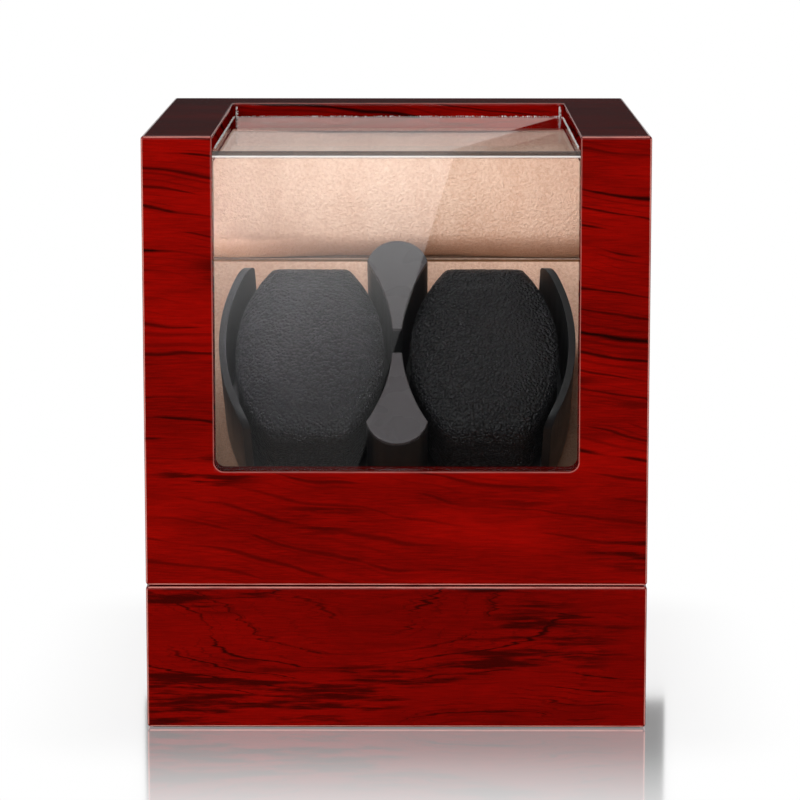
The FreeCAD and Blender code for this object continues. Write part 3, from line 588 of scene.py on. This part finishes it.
finishes = {
    "lid": lacquer("lacquer_lid", lacquerLid),
    "base": lacquer("lacquer_base", lacquerBase),
    "bare_board": bareBoard("bare_board", boardSet),
    "felt": felt("felt", feltSet),
    "suede": suede("suede", suedeSet),
    # the deck, the roll and the back cloth carry painted shade low down
    "deck": suede("deck_suede", suedeSet, "paintedShade", "well"),
    "roll": suede("roll_suede", suedeSet, "paintedWarmShade", "underRoll"),
    "back_cloth": suede("back_cloth", suedeSet, "paintedShade", "behindRoll"),
    "clear_acrylic": acrylic("clear_acrylic", acrylicSet),
    "rotor_plastic": moulded("rotor_plastic", mouldedSet["rotor"]),
    "cap_gloss": capSatin("cap_satin", capSet),
    "pillow_leather": leather("pillow_leather", leatherSet),
    "bronze": metal("bronze", metalSet["bronze"]),
    "drive_plastic": moulded("drive_plastic", mouldedSet["drive"]),
    "gear_plastic": moulded("gear_plastic", mouldedSet["gear"]),
    "steel": metal("steel", metalSet["steel"]),
    "lead_insulation": leadCover("lead_insulation", leadSet),
    "circuit_board": circuitBoard("circuit_board", circuitSet),
    "panel_plastic": moulded("panel_plastic", mouldedSet["panel"]),
    "panel_metal": metal("panel_nickel", metalSet["nickel"]),
    "hinge_brass": metal("hinge_brass", metalSet["brass"]),
    "cement": cement("clear_cement", cementSet),
    "dots": dotPaint("dot_paint", dotSet),
}


def wear(mesh, material):
    mesh.materials.clear()
    mesh.materials.append(material)


for part in frame["record"]["subparts"]:
    name, slot = part["node"], part["material_slot"]
    if slot == "lacquered_wood":
        slot = name.split("_")[0]  # lid or base
    if name == "deck_lining":
        slot = "deck"
    wear(nodes[name].data, finishes[slot])

# the lid's back board is covered in suede on the inside, behind the roll, darkened there with painted shade
insideOfBack = {"face": 76 * mm, "facing": -0.9}
backBoard = nodes["lid_back"].data
backBoard.materials.append(finishes["back_cloth"])
for face in backBoard.polygons:
    if face.normal.y < insideOfBack["facing"] and face.center.y < insideOfBack["face"]:
        face.material_index = 1
print("finishes on,", len(finishes), "materials")


# the caps' and the cup's crisp rims are eased, so that they catch the light
easeWidths = {"upper_post_cap": 0.45 * mm, "lower_post_cap": 0.45 * mm, "rotor_cup": 0.3 * mm}
easeSet = {"weld": 0.01 * mm, "flatAngle": 1, "edgeAngle": 50, "segments": 3}


def easeRims(node, width):
    weld = nodes[node].modifiers.new("weld", "WELD")
    weld.merge_threshold = easeSet["weld"]
    flat = nodes[node].modifiers.new("flat", "DECIMATE")
    flat.decimate_type = "DISSOLVE"
    flat.angle_limit = math.radians(easeSet["flatAngle"])
    ease = nodes[node].modifiers.new("ease", "BEVEL")
    ease.width = width
    ease.segments = easeSet["segments"]
    ease.limit_method = "ANGLE"
    ease.angle_limit = math.radians(easeSet["edgeAngle"])
    ease.harden_normals = True


for node, width in easeWidths.items():
    easeRims(node, width)
print("rims eased")


# meshes
def newObject(name, mesh):
    made = bpy.data.objects.new(name, mesh)
    scene.collection.objects.link(made)
    return made


def settled(made):  # the evaluated shape becomes the object's plain mesh
    graph = bpy.context.evaluated_depsgraph_get()
    mesh = bpy.data.meshes.new_from_object(made.evaluated_get(graph))
    made.modifiers.clear()
    old = made.data
    made.data = mesh
    bpy.data.meshes.remove(old)
    return made


def pathMesh(name, runs):  # open runs of points, as edges
    mesh = bpy.data.meshes.new(name)
    points, edges = [], []
    for run in runs:
        start = len(points)
        points += run
        edges += [(start + i, start + i + 1) for i in range(len(run) - 1)]
    mesh.from_pydata(points, edges, [])
    return mesh


def places(mesh):
    found = np.empty(len(mesh.vertices) * 3, np.float32)
    mesh.vertices.foreach_get("co", found)
    return found.reshape(-1, 3).astype(float)


def setPlaces(mesh, spots):
    mesh.vertices.foreach_set("co", spots.astype(np.float32).ravel())
    mesh.update()


# geometry node trees
def newTree(name, inputs):
    tree = bpy.data.node_groups.new(name, "GeometryNodeTree")
    tree.interface.new_socket("Geometry", in_out="INPUT", socket_type="NodeSocketGeometry")
    tree.interface.new_socket("Geometry", in_out="OUTPUT", socket_type="NodeSocketGeometry")
    for label, kind in inputs:
        tree.interface.new_socket(label, in_out="INPUT", socket_type="NodeSocket" + kind)
    start = Wire(tree).node("NodeGroupInput", out="Geometry")
    return tree, start


def closeTree(start, geometry):
    whole = start.node("GeometryNodeRealizeInstances", {}, {0: geometry})
    coated = start.node("GeometryNodeSetMaterial", {}, {"Geometry": whole, "Material": start.other("Finish")})
    start.node("NodeGroupOutput", {}, {0: coated})


def runTree(made, tree, values):
    modifier = made.modifiers.new("nodes", "NODES")
    modifier.node_group = tree
    for item in tree.interface.items_tree:
        if item.in_out == "INPUT" and item.name in values:
            modifier[item.identifier] = values[item.name]
    return settled(made)


def pebbleTree():
    tree, start = newTree("pebbleGrain", [("Cells", "Float"), ("Depth", "Float"), ("Finish", "Material")])
    spot = start.node("GeometryNodeInputPosition")
    pebble = cells(spot, start.other("Cells"))
    rise = (pebble.smooth(0.75, 0.25) - 1) * start.other("Depth")
    push = start.node("ShaderNodeVectorMath", {"operation": "SCALE"},
                      {0: start.node("GeometryNodeInputNormal"), "Scale": rise})
    closeTree(start, start.node("GeometryNodeSetPosition", {}, {"Geometry": start, "Offset": push}))
    return tree


dropSizes = (0.45, 0.45, 0.45), (1.5, 1.2, 1.2)  # the smallest and the largest, in radii


def beadTree():
    # irregular drops along a path
    tree, start = newTree("beadLine", [("Pitch", "Float"), ("Radius", "Float"), ("Stray", "Float"),
                                       ("Seed", "Int"), ("Finish", "Material")])
    line = start.node("GeometryNodeMeshToCurve", {}, {"Mesh": start})
    dots = start.node("GeometryNodeResampleCurve", {"mode": "LENGTH"},
                      {"Curve": line, "Length": start.other("Pitch")})
    stray = start.other("Stray")
    shake = start.node("FunctionNodeRandomValue", {"data_type": "FLOAT_VECTOR"},
                       {0: (-1, -1, -1), 1: (1, 1, 1), "Seed": start.other("Seed")})
    offset = start.node("ShaderNodeVectorMath", {"operation": "SCALE"}, {0: shake, "Scale": stray})
    moved = start.node("GeometryNodeSetPosition", {}, {"Geometry": dots, "Offset": offset})
    drop = start.node("GeometryNodeMeshIcoSphere", {}, {"Radius": start.other("Radius"), "Subdivisions": 2})
    size = start.node("FunctionNodeRandomValue", {"data_type": "FLOAT_VECTOR"},
                      {0: dropSizes[0], 1: dropSizes[1], "Seed": start.other("Seed")})
    beads = start.node("GeometryNodeInstanceOnPoints", {}, {"Points": moved, "Instance": drop, "Scale": size})
    closeTree(start, beads)
    return tree


def dotTree():
    tree, start = newTree("dotScale", [("Count", "Int"), ("Radius", "Float"), ("Height", "Float"),
                                       ("Finish", "Material")])
    line = start.node("GeometryNodeMeshToCurve", {}, {"Mesh": start})
    dots = start.node("GeometryNodeResampleCurve", {"mode": "COUNT"},
                      {"Curve": line, "Count": start.other("Count")})
    disc = start.node("GeometryNodeMeshCylinder", {}, {"Vertices": 20, "Radius": start.other("Radius"),
                                                       "Depth": start.other("Height")})
    turned = start.node("GeometryNodeInstanceOnPoints", {}, {"Points": dots, "Instance": disc,
                                                             "Rotation": (math.pi / 2, 0, 0)})
    closeTree(start, turned)
    return tree


trees = {"pebble": pebbleTree(), "beads": beadTree(), "dots": dotTree()}
print("node trees built")


# padded pieces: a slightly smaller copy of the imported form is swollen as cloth, and kept inside that form
def paddedFrom(name, settings):
    source = nodes[settings["node"]]
    form = bmesh.new()
    form.from_mesh(source.data)
    bmesh.ops.remove_doubles(form, verts=form.verts, dist=settings["merge"])
    bmesh.ops.recalc_face_normals(form, faces=form.faces)
    limit = BVHTree.FromBMesh(form)
    for vertex in form.verts:
        vertex.co -= vertex.normal * settings["inset"]
    mesh = bpy.data.meshes.new(name)
    form.to_mesh(mesh)
    form.free()
    made = newObject(name, mesh)
    remesh = made.modifiers.new("remesh", "REMESH")
    remesh.mode = "VOXEL"
    remesh.voxel_size = settings["voxel"]
    settled(made)
    swell(made, settings)
    keepInside(made, limit, settings["clear"])
    finer = made.modifiers.new("finer", "SUBSURF")
    finer.levels = finer.render_levels = settings["finer"]
    settled(made)
    spots = places(made.data)
    low, high = spots.min(axis=0).round(4), spots.max(axis=0).round(4)
    print(name, len(made.data.polygons), "faces, from", low, "to", high)
    return made


def swell(made, settings):
    rest = places(made.data)
    cloth = made.modifiers.new("cloth", "CLOTH")
    cloth.settings.quality = settings["quality"]
    cloth.settings.mass = settings["mass"]
    cloth.settings.tension_stiffness = settings["stiff"]
    cloth.settings.compression_stiffness = settings["stiff"]
    cloth.settings.bending_stiffness = settings["bend"]
    cloth.settings.use_pressure = True
    cloth.settings.uniform_pressure_force = settings["pressure"]
    cloth.settings.effector_weights.gravity = 0
    cloth.collision_settings.use_collision = False
    for step in range(1, settings["frames"] + 1):
        scene.frame_set(step)
    graph = bpy.context.evaluated_depsgraph_get()
    swollen = made.evaluated_get(graph).to_mesh()
    moved = places(swollen) - rest
    made.evaluated_get(graph).to_mesh_clear()
    made.modifiers.clear()
    scene.frame_set(1)
    moved -= moved.mean(axis=0)
    length = np.linalg.norm(moved, axis=1, keepdims=True)
    moved *= np.minimum(1, settings["cap"] / np.maximum(length, 1e-9))
    setPlaces(made.data, rest + moved)
    most = round(float(length.max()) / mm, 2)
    print(made.name, "swelled by up to", most, "mm, capped at", settings["cap"] / mm)


def keepInside(made, limit, clear):
    spots = places(made.data)
    for index, spot in enumerate(spots):
        near, normal, face, gap = limit.find_nearest(Vector(spot))
        outside = (Vector(spot) - near).dot(normal)
        if outside > -clear:
            spots[index] = np.array(Vector(spot) - normal * (outside + clear))
    setPlaces(made.data, spots)


def smoothShade(made):
    made.data.shade_smooth()


# how both kinds of padding swell, and the watch pillows
paddingSet = {"merge": 0.005 * mm, "quality": 6, "mass": 0.2, "pressure": 4.0, "stiff": 12.0, "bend": 0.8,
              "frames": 20, "clear": 0.02 * mm, "finer": 2}
pillowSet = {**paddingSet, "inset": 0.25 * mm, "voxel": 1.9 * mm, "cap": 1.2 * mm, "fill": 0.85}


def makePillow(side):
    node = "pillow_" + side
    pillow = paddedFrom("leather_" + node, {**pillowSet, "node": node})
    runTree(pillow, trees["pebble"], {
        "Cells": leatherSet["cellsPerMetre"], "Depth": leatherSet["grainDepth"],
        "Finish": finishes["pillow_leather"]})
    smoothShade(pillow)
    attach(pillow, node)
    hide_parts(node)
    return pillow


pillows = {side: makePillow(side) for side in ("left", "right")}
print("pillows padded")


# padded roll at the back of the lid
rollSet = {**paddingSet, "node": "lid_roll", "inset": 0.5 * mm, "voxel": 3.0 * mm, "cap": 2.0 * mm,
           "fill": 0.7, "lowEdge": 151.95 * mm, "turnHeight": 11 * mm, "turnDepth": 9 * mm}


def makeRoll():
    roll = paddedFrom("suede_lid_roll", rollSet)
    spots = places(roll.data)
    top, bottom = spots[:, 2].max(), spots[:, 2].min()
    spots[:, 2] = top - (top - spots[:, 2]) * (top - rollSet["lowEdge"]) / (top - bottom)
    front, back = spots[:, 1].min(), spots[:, 1].max()
    under = np.clip(1 - (spots[:, 2] - rollSet["lowEdge"]) / rollSet["turnHeight"], 0, 1) ** 2
    spots[:, 1] += under * rollSet["turnDepth"] * (back - spots[:, 1]) / (back - front)
    setPlaces(roll.data, spots)
    runTree(roll, trees["pebble"], {"Cells": suedeSet["napScale"], "Depth": suedeSet["napDepth"],
                                    "Finish": finishes["roll"]})
    smoothShade(roll)
    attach(roll, "lid")
    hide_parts("lid_roll")
    return roll


lidRoll = makeRoll()
print("lid roll padded")


# clear cement squeezed out where the pane meets the cut in the lid
cementLine = {
    "height": 209.7 * mm,
    "half": 64.7 * mm,
    "front": -70 * mm,
    "back": 59.3 * mm,
    "turn": 3 * mm,
    "corner": 63.6 * mm,
    "cornerIn": 0.5 * mm,
    "cornerTop": 213.6 * mm,
    "edge": {"Pitch": 0.9 * mm, "Radius": 0.28 * mm, "Stray": 0.12 * mm, "Seed": 4},
    "run": {"Pitch": 0.5 * mm, "Radius": 0.5 * mm, "Stray": 0.18 * mm, "Seed": 9},
}


def makeCement(settings):
    z, half, front, back = (settings[key] for key in ("height", "half", "front", "back"))
    turn = settings["turn"]
    line = [(-half, front, z), (-half, back - turn, z), (-half + turn, back, z),
            (half - turn, back, z), (half, back - turn, z), (half, front, z)]
    corners = []
    for side in (-1, 1):
        x, y = side * settings["corner"], back - settings["cornerIn"]
        corners.append([(x, y, z), (x, y, settings["cornerTop"])])
    for name, runs, values in (("cement_edge", [line], settings["edge"]),
                               ("cement_corners", corners, settings["run"])):
        bead = newObject(name, pathMesh(name, runs))
        runTree(bead, trees["beads"], {**values, "Finish": finishes["cement"]})
        smoothShade(bead)
        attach(bead, "lid")


makeCement(cementLine)
print("cement beads set")


# painted dots round the mode knob, on the back board
dotLine = {"centre": (-30 * mm, 29 * mm), "face": 85 * mm, "reach": 11.5 * mm,
           "from": 30, "to": 150, "steps": 24,
           "values": {"Count": 5, "Radius": 0.55 * mm, "Height": 0.3 * mm}}


def makeDots(settings):
    x, z = settings["centre"]
    turn = (settings["to"] - settings["from"]) / settings["steps"]
    angles = [math.radians(settings["from"] + turn * step) for step in range(settings["steps"] + 1)]
    reach = settings["reach"]
    arc = [(x + reach * math.cos(a), settings["face"], z + reach * math.sin(a)) for a in angles]
    dots = newObject("mode_dots", pathMesh("mode_dots", [arc]))
    runTree(dots, trees["dots"], {**settings["values"], "Finish": finishes["dots"]})
    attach(dots, "base")


makeDots(dotLine)
print("knob dots set")


# studio: pale floor, white backdrop, soft lamps, and cards that only reflections see
stageSet = {
    "floorHalf": 8.0,
    "floorHeight": 0.6 * mm,  # the felt presses in
    "floorPaint": paint(250, 250, 250),
    "shineNear": 0.68,
    "shineFar": 0.25,
    "shineRough": 0.05,
    "fade": (0.02, 0.13),
    "shadowShare": 0.4,
    "shadowReach": (0.0, 0.06),
    "ambient": 0.15,
}
lampSet = [
    ("keyLamp", (-1.35, -1.35, 0.55), (1.0, 0.8), 8.0, True),
    ("fillLamp", (1.45, -1.30, 0.55), (1.0, 0.8), 4.0, True),
    ("frontLamp", (-0.12, -2.0, 0.48), (0.9, 0.5), 26.0, False),
    ("backLampLeft", (-1.1, 1.75, 0.24), (1.0, 0.4), 16.0, False),
    ("backLampRight", (1.1, 1.75, 0.24), (1.0, 0.4), 16.0, False),
]  # name, place, size, power, and whether gloss shows it
lampAim = Vector((0, -0.02, 0.12))
highLamp = {"place": (-0.32, -0.58, 0.8), "size": (0.4, 0.2), "spread": 180}
rollLamp = {**highLamp, "aim": (0.0, 0.06, 0.18), "power": 6.8}
deckLamp = {**highLamp, "aim": (0.0, 0.04, 0.15), "power": 4.0}
spotLamp = {"size": (0.03, 0.03), "spread": 12}
rollEndLamp = {**spotLamp, "place": (-0.3, -0.5, 0.2), "aim": (-0.08, 0.06, 0.148), "spread": 8,
               "power": 0.008}
pillowLamps = {
    "left": {**spotLamp, "place": (-0.07, -0.42, 0.45), "aim": (-0.042, -0.005, 0.13), "power": 0.11},
    "right": {**spotLamp, "place": (0.07, -0.42, 0.45), "aim": (0.037, -0.005, 0.13), "power": 0.012},
}
# where the veils show, in mm: on the pane's front, on its top, and on the cut behind it
veilSet = {"outline": ((-65, 95), (-14, 95), (21, 209.6), (-65, 209.6)), "pane": -83.5 * mm, "away": 0.08,
           "glow": 2.3, "least": 0.11, "fade": (0.09, 0.185)}
topVeilSet = {"outline": ((-61.5, -83.5), (18, -83.5), (46, -2), (-61.5, -2)), "top": 209.5 * mm,
              "away": 0.95, "glow": 0.4}
cutVeilSet = {"outline": ((-63.5, 209.7), (62.5, 209.7), (44, 214.9), (-63.5, 214.9)), "y": 59.2 * mm,
              "glow": (0.56, 0.42, 0.38, 1)}
clothSet = {"half": 5.0, "lift": 0.75 * mm, "glow": 0.02, "fade": (2.5, 5.0)}
flagSet = {"half": 0.18, "away": 1.0, "low": 0.275, "high": 0.42, "glow": 0.055}


def makeFloor(settings):
    material, wire = newFinish("floor_paper")
    x = wire.node("ShaderNodeSeparateXYZ", {}, {0: spotOn(wire)})
    y = x.other(1)
    outX = (abs(x) - lacquerSet["halfWidth"]).most(0.0)
    outY = (abs(y) - lacquerSet["halfDepth"]).most(0.0)
    out = wire.maths("SQRT", outX * outX + outY * outY)
    fade = out.smooth(settings["fade"][1], settings["fade"][0])
    shine = fade * (settings["shineNear"] - settings["shineFar"]) + settings["shineFar"]
    lit = wire.node("ShaderNodeBsdfDiffuse", {}, {"Color": settings["floorPaint"]})
    white = wire.node("ShaderNodeEmission", {}, {"Color": (1, 1, 1, 1), "Strength": 1.0})
    reach = out.smooth(settings["shadowReach"][1], settings["shadowReach"][0]) * settings["shadowShare"]
    paper = wire.node("ShaderNodeMixShader", {}, {0: reach, 1: white, 2: lit})
    gloss = wire.node("ShaderNodeBsdfGlossy", {}, {
        "Color": (1, 1, 1, 1), "Roughness": settings["shineRough"]})
    wire.node("ShaderNodeOutputMaterial", {}, {
        "Surface": wire.node("ShaderNodeMixShader", {}, {0: shine, 1: paper, 2: gloss})})
    card("floor", square(settings["floorHalf"], settings["floorHeight"]), material)


def square(half, z):
    return [(-half, -half, z), (half, -half, z), (half, half, z), (-half, half, z)]


def card(name, corners, material):
    mesh = bpy.data.meshes.new(name)
    mesh.from_pydata(corners, [], [tuple(range(len(corners)))])
    wear(mesh, material)
    made = newObject(name, mesh)
    return made


def onlyReflected(made):
    made.visible_camera = False
    made.visible_diffuse = False
    made.visible_transmission = False
    made.visible_volume_scatter = False
    made.visible_shadow = False


def glowFinish(name, level, height=None, least=0.0, radius=None):
    # clear from behind; fades in with height, and out with distance
    material, wire = newFinish(name)
    clearShare = wire.node("ShaderNodeNewGeometry", out="Backfacing")
    x = wire.node("ShaderNodeSeparateXYZ", {}, {0: spotOn(wire)})
    y, z = x.other(1), x.other(2)
    if height:
        rise = z.smooth(*height)
        clearShare = clearShare.most((1 - rise * rise) * (1 - least))
    if radius:
        clearShare = clearShare.most(wire.maths("SQRT", x * x + y * y).smooth(*radius))
    glow = wire.node("ShaderNodeEmission", {}, {"Color": (level, level, level, 1), "Strength": 1.0})
    clear = wire.node("ShaderNodeBsdfTransparent", {}, {"Color": (1, 1, 1, 1)})
    wire.node("ShaderNodeOutputMaterial", {}, {
        "Surface": wire.node("ShaderNodeMixShader", {}, {0: clearShare, 1: glow, 2: clear})})
    return material


def veilFinish(name, level):  # a glow that what is behind it shows through
    material, wire = newFinish(name)
    glow = wire.node("ShaderNodeEmission", {}, {"Color": level, "Strength": 1.0})
    clear = wire.node("ShaderNodeBsdfTransparent", {}, {"Color": (1, 1, 1, 1)})
    both = wire.node("ShaderNodeAddShader", {}, {0: glow, 1: clear})
    wire.node("ShaderNodeOutputMaterial", {}, {"Surface": both})
    return material


def makeCards():
    cloth = card("floorCloth", square(clothSet["half"], clothSet["lift"]),
                 glowFinish("floor_cloth", clothSet["glow"], radius=clothSet["fade"]))
    half, away, low, high = (flagSet[key] for key in ("half", "away", "low", "high"))
    flag = card("topFlag", [(-half, away, low), (half, away, low), (half, away, high), (-half, away, high)],
                glowFinish("flag_cloth", flagSet["glow"]))
    # the veil card stands where the pane mirrors it to the camera
    eye = Vector(cameraSet["place"])
    pane = veilSet["pane"]
    share = veilSet["away"] / (pane - eye.y)
    corners = []
    for x, z in veilSet["outline"]:
        x, z = x * mm, z * mm
        corners.append((x + (x - eye.x) * share, pane - veilSet["away"], z + (z - eye.z) * share))
    veil = card("veilCard", corners[::-1],
                glowFinish("veil_card", veilSet["glow"], veilSet["fade"], veilSet["least"]))
    corners = []
    for x, y in topVeilSet["outline"]:
        spot = Vector((x * mm, y * mm, topVeilSet["top"]))
        ray = spot - eye
        share = (topVeilSet["away"] - spot.y) / ray.y
        corners.append(spot + Vector((ray.x, ray.y, -ray.z)) * share)
    topVeil = card("topVeilCard", corners[::-1], glowFinish("top_veil_card", topVeilSet["glow"]))
    corners = [(x * mm, cutVeilSet["y"], z * mm) for x, z in cutVeilSet["outline"]]
    cutVeil = card("cutVeilCard", corners, veilFinish("cut_veil_card", cutVeilSet["glow"]))
    for made in (cloth, flag, veil, topVeil, cutVeil):
        onlyReflected(made)


def makeLamp(name, place, aim, size, power, shown, spread=180):
    data = bpy.data.lights.new(name, "AREA")
    data.shape = "RECTANGLE"
    data.size, data.size_y = size
    data.energy = power
    data.spread = math.radians(spread)
    lamp = bpy.data.objects.new(name, data)
    lamp.location = place
    lamp.rotation_euler = (Vector(aim) - Vector(place)).to_track_quat("-Z", "Y").to_euler()
    lamp.visible_camera = False
    lamp.visible_glossy = shown
    scene.collection.objects.link(lamp)
    return lamp


def grouped(name, pieces):
    group = bpy.data.collections.new(name)
    for piece in pieces:
        group.objects.link(piece)
    return group


def shineOn(lamp, lit, inWay):  # light linking: who takes this light, and who shades it
    lamp.light_linking.receiver_collection = grouped(lamp.name + "Lit", lit)
    lamp.light_linking.blocker_collection = grouped(lamp.name + "InWay", inWay)


def makeLamps():
    for name, place, size, power, shown in lampSet:
        makeLamp(name, place, lampAim, size, power, shown)
    # small lamps lift what is seen through the window: the roll, the deck, and the pillows with their cup
    cup, deck = nodes["rotor_cup"], nodes["deck_lining"]
    lifts = [("rollLamp", rollLamp, [lidRoll], [lidRoll]),
             ("rollEndLamp", rollEndLamp, [lidRoll], [lidRoll]),
             ("deckLamp", deckLamp, [deck], [deck, cup, *pillows.values()])]
    for side, lift in pillowLamps.items():
        pieces = [pillows[side], cup]
        lifts.append((side + "PillowLamp", lift, pieces, pieces))
    for name, lift, lit, inWay in lifts:
        lamp = makeLamp(name, lift["place"], lift["aim"], lift["size"], lift["power"], False, lift["spread"])
        shineOn(lamp, lit, inWay)


def makeWorld(settings):
    world = bpy.data.worlds.new("studio")
    world.use_nodes = True
    world.node_tree.nodes.clear()
    wire = Wire(world.node_tree)
    path = wire.node("ShaderNodeLightPath", out="Is Camera Ray")
    seen = path.most(path.other("Is Glossy Ray")).most(path.other("Is Transmission Ray"))
    strength = seen * (1 - settings["ambient"]) + settings["ambient"]
    sky = wire.node("ShaderNodeBackground", {}, {"Color": (1, 1, 1, 1), "Strength": strength})
    wire.node("ShaderNodeOutputWorld", {}, {"Surface": sky})
    scene.world = world


makeFloor(stageSet)
makeCards()
makeLamps()
makeWorld(stageSet)
scene.view_settings.view_transform = "Standard"
print("studio set")
